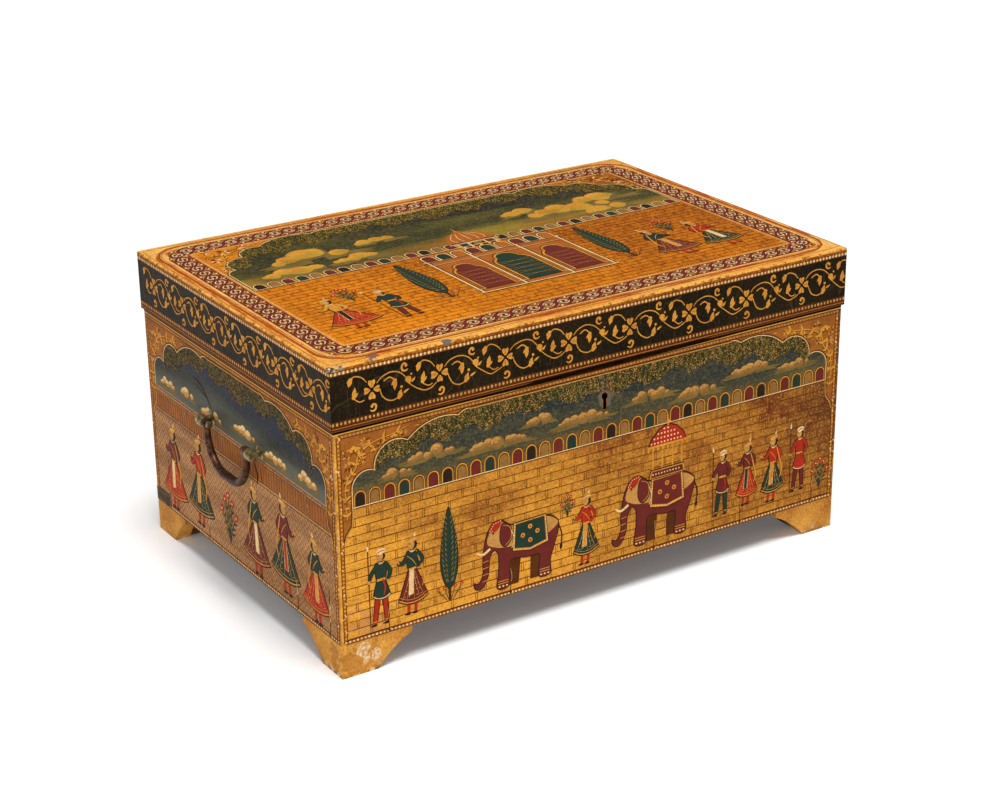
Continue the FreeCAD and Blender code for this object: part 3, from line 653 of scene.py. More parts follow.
@dataclass
class Brush:
    """A hand at one place of a face, which draws from there, at its size and a little unevenly."""

    canvas: Canvas
    face: Face
    rng: random.Random
    x: float = 0.0
    z: float = 0.0
    size: float = 1.0
    flip: int = 1
    layer: float = 0.0

    def moved(self, x: float, z: float, size: float = 1.0, flip: bool = False, layer: float = 0.0) -> "Brush":
        """Go to another place, given from this one.

        Args:
            x, z: the place.
            size: how much bigger to draw there.
            flip: whether to draw mirrored there.
            layer: how many more layers of paint lie below.
        Returns:
            The brush there.
        """
        x, z = self.spot((x, z))
        return replace(self, x=x, z=z, size=self.size * size, flip=self.flip * (-1 if flip else 1),
                       layer=self.layer + layer)

    def over(self, layer: float) -> "Brush":
        """Stay in place, and draw over more layers."""
        return replace(self, layer=self.layer + layer)

    def halves(self) -> list["Brush"]:
        """Give the hand for each half of a face, the second one mirrored."""
        return [self, replace(self, flip=-self.flip)]

    def spot(self, point: Point) -> Point:
        """Turn a point of the drawing into one of the face."""
        return (self.x + self.flip * self.size * point[0], self.z + self.size * point[1])

    def fill(self, paint: Paint, outline: list[Point], level: float, smooth: bool = False,
             edge: float = 0.0) -> None:
        """Fill an outline.

        Args:
            paint: the pot.
            outline: the shape's corners.
            level: how many layers lie under its top.
            smooth: whether the outline is rounded first.
            edge: the width of the dark line round it, if it has one.
        """
        points = curve(outline, True, 4) if smooth else outline
        if edge:
            self.rule(INK, points + points[:1], edge, level + 0.5)
        spots = [self.spot(point) for point in points]
        area = sum(a[0] * b[1] - b[0] * a[1] for a, b in zip(spots, spots[1:] + spots[:1]))
        if area < 0:
            spots.reverse()
        self.canvas.lay(self.face, paint, spots, [list(range(len(spots)))], self.layer + level)

    def stroke(self, paint: Paint, points: list[Point], width: float, level: float,
               ends: Point = (0.35, 0.35), smooth: bool = True, steps: int = 5) -> None:
        """Draw a line.

        Args:
            paint: the pot.
            points: where the line passes.
            width: its full width.
            level: how many layers lie under its top.
            ends: the share of the width at its start and end.
            smooth: whether it runs in a curve.
            steps: how many short runs make each span.
        """
        line = [Vector(self.spot(point)) for point in (curve(points, False, steps) if smooth else points)]
        half = width * self.size / 2
        left, right = [], []
        last = len(line) - 1
        for number, point in enumerate(line):
            ahead = line[min(number + 1, last)] - line[max(number - 1, 0)]
            side = ahead.orthogonal().normalized()
            t = number / last
            near = ends[0] if t < 0.5 else ends[1]
            reach = half * (near + (1 - near) * math.sin(math.pi * t) ** 0.6) if 0 < t < 1 else half * near
            left.append(tuple(point + side * reach))
            right.append(tuple(point - side * reach))
        count = len(line)
        cells = [[count + number, count + number + 1, number + 1, number] for number in range(last)]
        self.canvas.lay(self.face, paint, left + right, cells, self.layer + level)

    def rule(self, paint: Paint, points: list[Point], width: float, level: float) -> None:
        """Draw straight runs of even width."""
        self.stroke(paint, points, width, level, (1, 1), False)

    def dot(self, paint: Paint, x: float, z: float, radius: float, level: float, tall: float = 1.0,
            turn: float = 0.0, sides: int = 9) -> None:
        """Dab a round or oval spot.

        Args:
            paint: the pot.
            x, z: its middle.
            radius: half its width.
            level: how many layers lie under its top.
            tall: its height as a share of its width.
            turn: how far it is turned, in degrees.
            sides: how many sides it has.
        """
        angle = math.radians(turn)
        outline = []
        for side in range(sides):
            there = math.tau * side / sides
            wide, high = radius * math.cos(there), radius * tall * math.sin(there)
            outline.append((x + wide * math.cos(angle) - high * math.sin(angle),
                            z + wide * math.sin(angle) + high * math.cos(angle)))
        self.fill(paint, outline, level)

    def leaf(self, paint: Paint, x: float, z: float, length: float, width: float, turn: float,
             level: float) -> None:
        """Lay one pointed leaf.

        Args:
            paint: the pot.
            x, z: its foot.
            length, width: its size.
            turn: where it points, in degrees.
            level: how many layers lie under its top.
        """
        ahead = heading(turn)
        side = ahead.orthogonal()
        shape = [(0, 0), (0.25, -0.45), (0.6, -0.4), (1, 0), (0.6, 0.4), (0.25, 0.5)]
        self.fill(paint, [tuple(Vector((x, z)) + ahead * length * along + side * width * aside)
                          for along, aside in shape], level)

    def beads(self, paint: Paint, start: Point, end: Point, pitch: float, wide: float, tall: float,
              level: float) -> None:
        """Set a row of beads between two places.

        Args:
            paint: the pot.
            start, end: the first bead and the last.
            pitch: how far apart they are.
            wide, tall: a bead's width and its height.
            level: how many layers lie under them.
        """
        first, last = Vector(start), Vector(end)
        count = max(1, round((last - first).length / pitch))
        for number in range(count + 1):
            spot = self.spot(tuple(first.lerp(last, number / count)))
            scale = 1 + 0.12 * math.sin(number * 2.4)
            self.canvas.bead(self.face, paint, spot, wide * scale / 2, tall * scale / 2, self.layer + level)


# Traditional ornament


def sprig(brush: Brush) -> None:
    """Draw a three-lobed flower with a curling stem and leaves, about 24 wide.

    Args:
        brush: the hand at the flower's middle.
    """
    for turn in (30, 90, 150):
        x, z = 3.4 * math.cos(math.radians(turn)), 3.4 * math.sin(math.radians(turn))
        brush.dot(BROWN, x, z, 3.7, 0, 1.15, turn - 90)
        brush.dot(GOLD, x, z + 0.2, 3.1, 1, 1.15, turn - 90)
    brush.dot(BROWN, 0, 0.8, 1.3, 2)
    for side in (-1, 1):
        brush.stroke(BROWN, [(0, -1), (side * 6, -6), (side * 12, -3), (side * 10, 2)], 1.1, 0)
        for x, z, turn in ((5, -5, -50), (10, -5, -20), (12, -1, 60), (9, 1, 140)):
            lean = turn if side > 0 else 180 - turn
            brush.leaf(BROWN, side * x, z, 6.4, 3.4, lean, 0)
            brush.leaf(GOLD, side * x, z + 0.2, 5.4, 2.5, lean, 1)


def frieze_unit(brush: Brush, reach: float) -> None:
    """Draw one unit of the gold vine: its flower at the brush, its bud half a pitch to the right.

    Args:
        brush: the hand at the flower's middle.
        reach: the unit's pitch as a share of its full one.
    """
    def near(x: float, z: float) -> Point:
        """Go near a spot, as a hand does."""
        return (x * reach + brush.rng.uniform(-0.5, 0.5), z + brush.rng.uniform(-0.5, 0.5))

    def line(points: list[Point], width: float) -> None:
        """Draw one swelling line of the vine."""
        brush.stroke(GOLD, [near(*point) for point in points], width * 0.86, 0, (0.55, 0.7))

    def leaf(x: float, z: float, turn: float, length: float = 11.0) -> None:
        """Lay a leaf of two tips at a scroll's end, from its round foot.

        Args:
            x, z: its foot.
            turn: where it points, in degrees.
            length: its length.
        """
        foot = near(x, z)
        brush.dot(GOLD, *foot, 2.5, 0, sides=8)
        brush.leaf(GOLD, *foot, length, 5.6, turn, 0)
        # Painted highlight: a lighter leaf set up and to the left on each leaf.
        brush.leaf(TAN, foot[0] - 0.5, foot[1] + 0.5, length * 0.6, 1.7, turn, 1)
        brush.leaf(GOLD, *foot, length * 0.62, 4.0, turn - 42, 0)

    for turn in range(0, 360, 90):
        ahead = heading(turn)
        side = ahead.orthogonal()
        size = brush.rng.uniform(0.86, 1.04)
        petal = [(2.2, 0), (5.4, -3.1), (8.4, -4.3), (10.8, -3.2), (10.0, 0), (10.8, 3.2), (8.4, 4.3),
                 (5.4, 3.1)]
        outline = [tuple(ahead * along * size + side * aside * size) for along, aside in petal]
        brush.fill(GOLD, outline, 0, smooth=True)
        spot = ahead * 7.2 * size
        # Painted highlight: a light dab on each petal's upper left, on the same side whichever way the petal
        # points.
        brush.dot(TAN, spot.x - 0.7, spot.y + 0.8, 1.7, 1, 0.6, 40, sides=7)
        brush.stroke(BROWN, [tuple(spot - ahead * 3), tuple(spot + ahead * 2)], 0.5, 1, (1, 0.2))
    line([(6.5, 6.5), (12, 12), (23, 15), (34, 12.4), (42, 5)], 1.5)
    line([(45, -1.5), (54, -9), (64, -15), (73, -13.5), (80, -9.5)], 1.5)
    line([(15, 6.4), (22, 9.2), (28, 5)], 1.8)
    leaf(28.5, 4.0, 266)
    line([(9.8, -1), (12, -8), (17, -15), (25, -18), (32, -16)], 1.6)
    leaf(32.5, -15.6, 70, 9.5)
    line([(-6.0, 9.5), (-11.5, 16), (-19.5, 19), (-25, 17)], 1.6)
    leaf(-25.5, 16.4, 250, 8.5)
    line([(-9, -9.2), (-15, -10.6), (-21, -6.5)], 1.5)
    leaf(-22, -4.4, 80, 11.5)
    bud = near(45, 2.6)
    brush.dot(GOLD, *bud, 3.9, 0, 0.9, sides=10)
    brush.leaf(GOLD, bud[0], bud[1] + 1, 7.4, 6.0, 282, 0)
    for x, z, radius in ((49, 7.5, 1.3), (36.5, -4.5, 1.7)):
        brush.dot(GOLD, *near(x, z), radius, 0, sides=7)
    for x, z, length, turn in ((48.5, -2.5, 7.4, 44), (38, -12, 8.2, 28)):
        brush.leaf(GOLD, *near(x, z), length, 2.8, turn, 0)
    for x, z, bend in ((40, 16.5, -1), (2, -20.5, 1)):
        hook = [(-3.2, 2.0), (-0.6, 4.0), (2.4, 2.2), (2.0, -2.0), (-1.6, -3.8), (-4.8, -2.2)]
        brush.stroke(GOLD, [near(x + bend * px, z + pz) for px, pz in hook], 2.3, 0, (1, 0.2))
        brush.dot(GOLD, x - bend * 2.4, z + 1.8, 1.7, 1, sides=8)


def foliage(brush: Brush, paints: tuple[Paint, ...], radius: float) -> None:
    """Draw one tuft of radiating leaf strokes.

    Args:
        brush: the hand at the tuft's middle.
        paints: the pots to choose from.
        radius: its reach.
    """
    rng = brush.rng
    for turn in range(0, 360, 45):
        ahead = heading(turn + rng.uniform(-16, 16))
        side = ahead.orthogonal() * 0.55
        tip = ahead * radius * rng.uniform(0.75, 1.15)
        middle = ahead * radius * 0.5
        outline = [tuple(corner) for corner in (ahead * 0.7, middle - side, tip, middle + side)]
        brush.fill(rng.choice(paints), outline, 0)


def cloud(brush: Brush, width: float, paints: tuple[Paint, ...]) -> None:
    """Draw a bank of rolled puffs over a trailing base.

    Args:
        brush: the hand at the middle of the bank's foot.
        width: how far the puffs reach.
        paints: the dark, the middle and the lit paint.
    """
    rng = brush.rng
    dark, middle, lit = paints
    for side in (-1, 1):
        for row in range(3):
            z = -3.4 + 1.7 * row
            brush.stroke(dark, [(side * width * 0.1, z), (side * width * 0.38, z + rng.uniform(-1, 1)),
                                (side * width * rng.uniform(0.55, 0.8), z - rng.uniform(0, 1.5))],
                         2.6, 0, (0.9, 0.05))
    x = -width * 0.46
    while x < width * 0.46:
        share = 1 - (2 * x / width) ** 2
        radius = (3.2 + 5.4 * share) * rng.uniform(0.7, 1.15)
        z = radius * 0.4 + rng.uniform(-1.5, 3.6) * share
        rim = [(radius * rng.uniform(0.84, 1.12), math.radians(turn)) for turn in range(0, 360, 40)]
        for paint, size, shift, level in ((dark, 1.0, -0.1, 0), (middle, 0.86, 0.06, 1)):
            puff = [(x + reach * size * math.cos(turn),
                     z + shift * radius + reach * size * 0.8 * math.sin(turn)) for reach, turn in rim]
            brush.fill(paint, puff, level, smooth=True)
        for size, width_share, turns in ((0.62, 0.42, (20, 60, 100, 140, 190)),
                                         (0.2, 0.22, (-20, 60, 150, 200))):
            arc = [(x - 0.06 * radius + size * radius * math.cos(math.radians(turn)),
                    z + 0.04 * radius + size * radius * 0.8 * math.sin(math.radians(turn))) for turn in turns]
            brush.stroke(lit, arc, radius * width_share, 2, (0.1, 0.1), steps=3)
        x += radius * rng.uniform(0.95, 1.7)


def hang_foliage(brush: Brush, arch: list[Point], inner: float, pitch: float,
                 deep: float, paints: tuple[Paint, ...]) -> None:
    """Hang leaves under an arch: a dark mass with a ragged edge, and lighter tufts over it.

    Args:
        brush: the hand at the face's middle.
        arch: the left half of the arch's line.
        inner: how far to each side the leaves reach.
        pitch: how far apart the tufts are.
        deep: how far the leaves hang down.
        paints: the tufts' paints.
    """
    def roof(x: float) -> float:
        """Find the arch's height over a place."""
        return max((z for px, z in arch if px <= 1.5 - abs(x)), default=arch[0][1])

    rng = brush.rng
    count = round(2 * inner / pitch)
    columns = [-inner + 2 * inner * number / count for number in range(count + 1)]
    drops = [deep * (0.85 + 0.18 * math.sin(x / 9.0) + 0.14 * math.sin(x / 31.0 + 1)) for x in columns]
    for (x, drop), (after, next_drop) in zip(zip(columns, drops), zip(columns[1:], drops[1:])):
        top = min(roof(x), roof(after)) - 0.6
        low = max(drop, next_drop) * rng.uniform(0.7, 0.9)
        brush.fill(MOSS, [(x, top), (x, top - low), ((x + after) / 2, top - low - rng.uniform(1, 4)),
                          (after, top - low), (after, top)], 0)
    for x, drop in zip(columns, drops):
        down = 3.0
        while down < drop:
            spot = (x + rng.uniform(-2, 2), roof(x) - down)
            foliage(brush.moved(*spot, layer=1), paints, rng.uniform(2.8, 4.2))
            down += rng.uniform(4.2, 5.8)


def bricks(brush: Brush, left: float, right: float, low: float, high: float,
           course: float) -> None:
    """Draw brick courses with doubled upright joints, by a free hand.

    Args:
        brush: the hand at the face's middle.
        left, right, low, high: where the wall ends.
        course: the height of a course.
    """
    rng = brush.rng
    brick = course * 3.3
    for row in range(round((high - low) / course)):
        z = low + row * course
        x = left
        while x < right:
            end = min(right, x + rng.uniform(50, 130))
            middle = (x + end) / 2
            brush.stroke(BROWN, [(x, z + rng.uniform(-0.2, 0.2)), (middle, z + rng.uniform(-0.35, 0.35)),
                                 (end, z)], rng.uniform(0.75, 1.05), 0, (0.6, 0.6), steps=3)
            x = end + rng.uniform(0.3, 1.6)
        x = left + (0.35 if row % 2 else 0.85) * brick
        while x < right - 3:
            for step in (0, 2.4):
                joint = x + step + rng.uniform(-0.2, 0.2)
                brush.stroke(BROWN, [(joint, z + 0.3), (joint, z + min(course, high - z) - 0.3)],
                             0.75, 0, (0.8, 0.8), smooth=False)
            x += brick + rng.uniform(-1.5, 1.5)


def niche(brush: Brush, paint: Paint, frame_paint: Paint) -> None:
    """Draw one niche of an arcade, 16 wide, with its pale frame.

    Args:
        brush: the hand at its foot.
        paint: the pot for its inside.
        frame_paint: the pot for its frame.
    """
    brush.fill(BROWN, niche_outline(8.2, 19.2), 0)
    brush.fill(frame_paint, niche_outline(7.5, 18.3), 1)
    brush.fill(BROWN, niche_outline(6.2, 16.9), 2)
    brush.fill(paint, niche_outline(5.2, 15.4), 3)


def arcade(brush: Brush, left: float, right: float, base: float, pitch: float,
           frame_paint: Paint = GOLD) -> None:
    """Draw a row of niches along the top of a wall, and the pale line that they stand on.

    Args:
        brush: the hand at the face's middle.
        left, right: where the row ends.
        base: the line that it stands on.
        pitch: how far apart the niches are, about.
        frame_paint: the pot for their frames.
    """
    count = round((right - left) / pitch)
    order = (INK, DUN, MAROON, GREEN, DUN, MAROON)
    for number in range(count):
        x = left + (right - left) * (number + 0.5) / count
        niche(brush.moved(x, base), order[number % len(order)], frame_paint)
    brush.rule(BROWN, [(left, base - 0.9), (right, base - 0.9)], 2.6, 2)
    brush.rule(CREAM, [(left, base - 0.4), (right, base - 0.4)], 1.1, 3)


def spandrel(half: Brush, stem: list[Point], flowers: list[Triple]) -> None:
    """Fill a spandrel with a curling stem, leaves on both its sides and flowers.

    Args:
        half: the hand at the face's middle, for one side of it.
        stem: where the stem passes.
        flowers: the place and size of each flower.
    """
    line = curve(stem, steps=4)
    for shift, paint, width, level in ((0.6, BROWN, 2.2, 0), (0.0, GOLD, 1.4, 1)):
        half.stroke(paint, [(x + shift, z - shift) for x, z in stem], width, level, (0.5, 0.3))
    for number, (first, last) in enumerate(zip(line[1::3], line[2::3])):
        facing = math.degrees(math.atan2(last[1] - first[1], last[0] - first[0]))
        for side in (-1, 1):
            turn = facing + side * (52 + 10 * math.sin(number * 2.1))
            length = 8.5 + 2 * math.sin(number * 1.7 + side)
            half.leaf(BROWN, first[0] + 0.5, first[1] - 0.6, length + 0.8, 4.4, turn, 0)
            half.leaf(GOLD, *first, length, 3.2, turn, 2)
    for x, z, size in flowers:
        sprig(half.moved(x, z, size, layer=1))


def dotted(brush: Brush, points: list[Point], pitch: float, radius: float, level: float) -> None:
    """Set pale dots along a line of points.

    Args:
        brush: the hand at its foot.
        points: where the line passes.
        pitch: how far apart the dots are, about.
        radius: a dot's radius.
        level: how many layers lie under them.
    """
    for first, last in zip(points, points[1:]):
        start, end = Vector(first), Vector(last)
        count = max(1, round((end - start).length / pitch))
        for number in range(count):
            spot = start.lerp(end, number / count)
            brush.dot(CREAM, spot.x, spot.y, radius, level, sides=6)


def sleeves(brush: Brush, coat: Paint, arms: list[list[Point]], level: float) -> None:
    """Draw two arms in sleeves with a dark edge.

    Args:
        brush: the hand at the feet.
        coat: the sleeves' pot.
        arms: where each arm passes.
        level: how many layers lie under them.
    """
    for arm in arms:
        brush.stroke(INK, arm, 5.8, level - 0.4, (0.9, 0.6))
        brush.stroke(coat, arm, 4.4, level, (0.9, 0.6))


def profile(brush: Brush, level: float) -> None:
    """Draw a plain face that looks left.

    Args:
        brush: the hand at the feet.
        level: how many layers lie under it.
    """
    brush.dot(TAN, -0.8, 86.2, 4.2, level, 1.2)
    brush.leaf(TAN, -3.6, 86.4, 2.8, 1.8, 184, level)
    brush.dot(INK, -2.6, 87.6, 0.6, level + 1, sides=6)


def attendant(brush: Brush, skirt: Paint, coat: Paint, sash: Paint, flare: float = 1.0) -> None:
    """Draw an attendant in a flared skirt and a turban, 100 tall, looking left.

    Args:
        brush: the hand at the feet.
        skirt, coat, sash: the pots for the clothes.
        flare: how wide the skirt is.
    """
    for x in (-5, 4):
        brush.stroke(RED, [(x, 20), (x - 1, 4)], 4.4, 0, (1, 0.8), smooth=False)
        brush.leaf(INK, x + 2, 2.6, 9, 3.4, 180, 0)
    hem = [(-19 * flare, 20), (-10 * flare, 15.5), (0, 14), (10 * flare, 15.5), (20 * flare, 20)]
    brush.fill(skirt, [(4.6, 58), (-4.6, 58)] + curve(hem, steps=4), 1, edge=1.0)
    trim = GOLD if skirt is not ORANGE else CREAM
    brush.stroke(trim, [(x * 0.96, z + 1.6) for x, z in hem], 1.3, 2, (0.8, 0.8))
    brush.stroke(trim, [(x * 0.9, z + 5.2) for x, z in hem], 0.5, 2, (0.8, 0.8))
    for share in (-0.8, -0.45, 0.1, 0.45, 0.8):
        brush.stroke(trim, [(3.6 * share, 55), (9 * flare * share, 38), (18 * flare * share, 20)], 0.45, 2)
    for share in (-0.62, -0.3, 0.3, 0.62):
        for step in (24, 31, 38, 45):
            brush.dot(CREAM, (19 * flare - 0.4 * flare * (step - 18)) * share, step, 0.5, 2, sides=5)
    brush.fill(sash, [(-3.4, 58), (1.6, 58), (0.2, 26), (-5.2, 25)], 3)
    brush.stroke(CREAM, [(-3.9, 57), (-5.4, 26), (0.2, 27), (1.9, 57)], 0.6, 4, smooth=False)
    brush.fill(coat, [(-4.8, 56), (4.8, 56), (7.6, 70), (6.4, 79), (-6.2, 79), (-7, 70)], 2, True, 0.9)
    sleeves(brush, coat, [[(6, 77), (12.6, 66), (6, 58)], [(-5, 76), (-12, 66), (-19, 69)]], 3)
    brush.rule(GOLD, [(-17, 66.6), (-18, 70.6)], 1.4, 4)
    brush.dot(TAN, -20.4, 69.6, 1.9, 3)
    brush.rule(GOLD, [(-4.8, 57), (4.8, 57.4)], 2.2, 4)
    brush.rule(TAN, [(0, 77), (-0.4, 84)], 3.6, 2)
    brush.dot(INK, 2.6, 86, 4.4, 2, 1.15)
    profile(brush, 3)
    brush.stroke(CREAM, [(-4, 80.4), (0, 78), (5, 80)], 0.9, 4)
    brush.dot(GOLD, 1, 92.2, 6.2, 3, 0.58, 16, sides=12)
    brush.stroke(CREAM, [(-5, 90), (0, 92.8), (6.6, 92.4)], 0.8, 4)
    brush.stroke(BROWN, [(-4.6, 92), (1, 95), (6, 94.4)], 0.5, 4)
    brush.leaf(CREAM, 3, 95, 5.6, 2.0, 72, 3)
    brush.stroke(GOLD, [(5.6, 78), (11, 60), (15, 44), (12, 33)], 1.9, 3, (0.6, 0.2))
    brush.stroke(GOLD, [(-6.4, 74), (0, 68), (5, 60)], 0.8, 4)


def guard(brush: Brush, coat: Paint, legs: Paint) -> None:
    """Draw a guard with a staff, in a short coat and wide trousers, 100 tall, looking left.

    Args:
        brush: the hand at the feet.
        coat, legs: the pots for the clothes.
    """
    for x, foot in ((-4, -9), (4, 7)):
        brush.fill(legs, [(x - 3.6, 42), (x + 3.8, 42), (foot + 2.6, 5), (foot - 3.2, 5)], 0, edge=0.9)
        brush.leaf(INK, foot + 3, 3, 9.5, 3.4, 184, 0)
        brush.rule(GOLD, [(foot - 3, 7), (foot + 2.4, 7)], 1.0, 1)
    brush.fill(coat, [(-5, 60), (5, 60), (12, 37), (4, 33), (-5, 34), (-11, 38)], 1, edge=1.0)
    brush.stroke(CREAM, [(11, 38), (4, 34.4), (-5, 35.4), (-10.4, 39)], 1.0, 2, (1, 1))
    brush.fill(coat, [(-5, 57), (5, 57), (7.8, 70), (6.4, 79), (-6.4, 79), (-7.4, 70)], 1, True, 0.9)
    sleeves(brush, coat, [[(6, 77), (12, 66), (9, 56)], [(-5, 76), (-12, 67), (-15, 60)]], 2)
    brush.dot(TAN, -15.4, 58, 2, 3)
    brush.rule(BROWN, [(-15, 2), (-16, 98)], 1.1, 1)
    brush.leaf(CREAM, -16, 96, 8, 2.6, 91, 2)
    brush.rule(GOLD, [(-5.4, 58), (5.4, 58)], 3.0, 3)
    brush.stroke(RED, [(2, 58), (5, 48), (3, 38)], 2.0, 3, (1, 0.3))
    brush.rule(TAN, [(0, 77), (-0.4, 84)], 3.8, 1)
    brush.dot(INK, 2.2, 86, 4.2, 1, 1.1)
    profile(brush, 2)
    brush.dot(CREAM, 0.8, 92.4, 6, 2, 0.6, 14, sides=12)
    brush.stroke(RED, [(-4.8, 90.4), (0, 93), (6.4, 93)], 1.0, 3)
    brush.stroke(CREAM, [(-3.6, 80), (0, 77.6), (4.6, 79.6)], 0.8, 3)


def elephant(brush: Brush, cloth: Paint, canopy: bool) -> None:
    """Draw a decked elephant walking left, about 125 long and 92 high.

    Args:
        brush: the hand at the feet.
        cloth: the pot for its blanket.
        canopy: whether it carries a domed seat.
    """
    for hip, foot in ((-8, -11), (20, 18)):
        brush.fill(BROWN, [(hip - 7, 40), (hip + 8, 40), (foot + 7, 2), (foot - 6, 2)], 0)
    body = [(52, 60), (47, 71), (32, 78), (6, 76), (-14, 78), (-27, 87), (-38, 85), (-45, 76), (-49, 64),
            (-52, 44), (-52, 26), (-58, 15), (-64, 17), (-62, 9), (-53, 8), (-45, 22), (-43, 42), (-37, 51),
            (-31, 44), (-31, 24), (-33, 2), (-17, 2), (-16, 24), (-12, 34), (10, 31), (24, 31), (25, 22),
            (24, 2), (40, 2), (40, 20), (46, 38)]
    brush.fill(MAROON, body, 1, True, 1.1)
    brush.fill(TAN, [(50, 62), (46, 70), (32, 76), (8, 74), (-12, 76), (-26, 84), (-36, 82), (-43, 74),
                     (-46, 62), (-38, 56), (-26, 52), (0, 50), (30, 52)], 2, smooth=True)
    brush.stroke(INK, [(51, 62), (56, 48), (55, 34)], 1.6, 1, (1, 0.8))
    brush.leaf(INK, 55, 36, 9, 4, 268, 1)
    brush.fill(MAROON, [(-26, 82), (-14, 76), (-13, 60), (-22, 52), (-29, 62)], 3, True, 0.9)
    brush.stroke(GOLD, [(-25, 80), (-15, 75), (-14, 61), (-22, 54)], 0.8, 4)
    brush.stroke(CREAM, [(-42, 55), (-52, 50), (-60, 54)], 2.8, 3, (1, 0.2))
    brush.dot(INK, -38, 73, 1.2, 4)
    brush.stroke(INK, [(-41, 75.4), (-38, 76.6), (-35, 75)], 0.5, 4)
    brush.fill(RED, [(-27, 87), (-38, 85), (-43, 77), (-36, 74), (-30, 78)], 3, smooth=True)
    dotted(brush, [(-28, 86), (-37, 84), (-42, 77), (-36, 75)], 3.0, 0.75, 4)
    for height in (16, 24, 32, 40):
        brush.rule(GOLD, [(-52.5, height), (-44.5, height + 1)], 0.7, 2)
    blanket = [(-10, 78), (34, 79), (37, 44), (12, 39), (-12, 44)]
    brush.fill(GOLD, blanket, 3, edge=1.0)
    brush.fill(cloth, [(-7.6, 76), (31.4, 77), (34, 47), (12, 42.4), (-9, 47)], 4)
    dotted(brush, [(-8.8, 77), (-10.4, 45.4), (12, 40.7), (35.6, 45.6), (32.8, 78)], 3.4, 0.8, 5)
    for x, z in ((2, 60), (22, 61), (12, 52), (12, 69)):
        brush.dot(GOLD, x, z, 3.0, 5, 1.0)
        brush.dot(RED, x, z, 1.5, 6)
    for x in (-25, 32):
        for height in (7, 10):
            brush.rule(GOLD, [(x - 7, height), (x + 7, height)], 0.9, 2)
        for toe in (-5, 0, 5):
            brush.dot(CREAM, x + toe, 3.4, 1.5, 2, 0.7, sides=7)
    brush.stroke(CREAM, [(-14, 72), (-10, 60), (-13, 48)], 1.0, 5)
    if canopy:
        seat = brush.moved(12, 78, 1.35)
        seat.fill(GOLD, [(-19, 0), (19, 0), (17, 8), (-17, 8)], 4, edge=0.8)
        seat.fill(MAROON, [(-17, 1.2), (17, 1.2), (15.6, 6.6), (-15.6, 6.6)], 5)
        dotted(seat, [(-15, 4), (15, 4)], 3.0, 0.8, 6)
        for x in (-15, -5.5, 5.5, 15):
            seat.rule(GOLD, [(x, 8), (x, 30)], 1.4, 2)
        seat.fill(RED, [(-20, 29), (20, 29), (17, 36), (9, 44), (0, 47), (-9, 44), (-17, 36)], 3,
                  edge=0.9)
        for half, z in ((17, 32), (14, 36), (10, 40), (4, 43.6)):
            dotted(seat, [(-half, z), (half, z)], 3.3, 0.9, 4)
        seat.rule(GOLD, [(-21, 29), (21, 29)], 2.0, 5)
        for number in range(9):
            seat.leaf(GOLD, -20 + 5 * number, 28.4, 4.2, 2.6, 270, 4)
        seat.stroke(GOLD, [(0, 46), (0, 55)], 1.5, 4, (1, 0.3), smooth=False)
        seat.dot(GOLD, 0, 49, 2.0, 5)


def cypress(brush: Brush) -> None:
    """Draw a cypress, 100 tall, with a flowering creeper at its foot.

    Args:
        brush: the hand at its foot.
    """
    brush.rule(BROWN, [(0, 0), (0, 20)], 3.0, 0)
    brush.fill(GREEN, [(0, 100), (4.5, 84), (9, 60), (10, 38), (6, 20), (0, 13), (-6, 20), (-10, 38),
                       (-9, 60), (-4.5, 84)], 1, True, 0.8)
    for step in range(13):
        z = 20 + 5.6 * step
        half = 8.2 * math.sin(math.pi * min(0.92, (z - 12) / 92)) ** 0.7
        for side in (-1, 1):
            for share in (0.35, 0.85):
                brush.leaf(HAZE, side * half * share, z, 5.6, 1.3, 90 - side * 24, 2)
    for x, turn in ((-9, 130), (-4, 105), (4, 75), (9, 50)):
        brush.stroke(GREEN, [(x * 0.3, 0), (x, 8), (x * 1.5, 14)], 0.8, 0)
        brush.dot(RED, x * 1.5, 14.6, 1.9, 2)
        brush.dot(GOLD, x * 1.5, 14.6, 0.8, 3)
        brush.leaf(HAZE, x, 7, 6, 2, turn, 1)


def shrub(brush: Brush) -> None:
    """Draw a flowering shrub, about 60 tall.

    Args:
        brush: the hand at its foot.
    """
    for x, z in ((-17, 36), (-9, 50), (0, 57), (9, 50), (17, 36)):
        brush.stroke(GREEN, [(0, 0), (x * 0.35, z * 0.5), (x, z)], 1.2, 0, (1, 0.6))
        for share in (0.35, 0.55, 0.75):
            for side in (-1, 1):
                brush.leaf(HAZE if side > 0 else GREEN, x * share * 0.8, z * share, 8, 2.8,
                           90 - 2 * x + side * 46, 1)
        for turn in range(0, 360, 72):
            angle = math.radians(turn + 18)
            brush.dot(RED, x + 2.5 * math.cos(angle), z + 2.5 * math.sin(angle), 1.9, 2, sides=8)
        brush.dot(CREAM, x, z, 1.4, 3, sides=7)


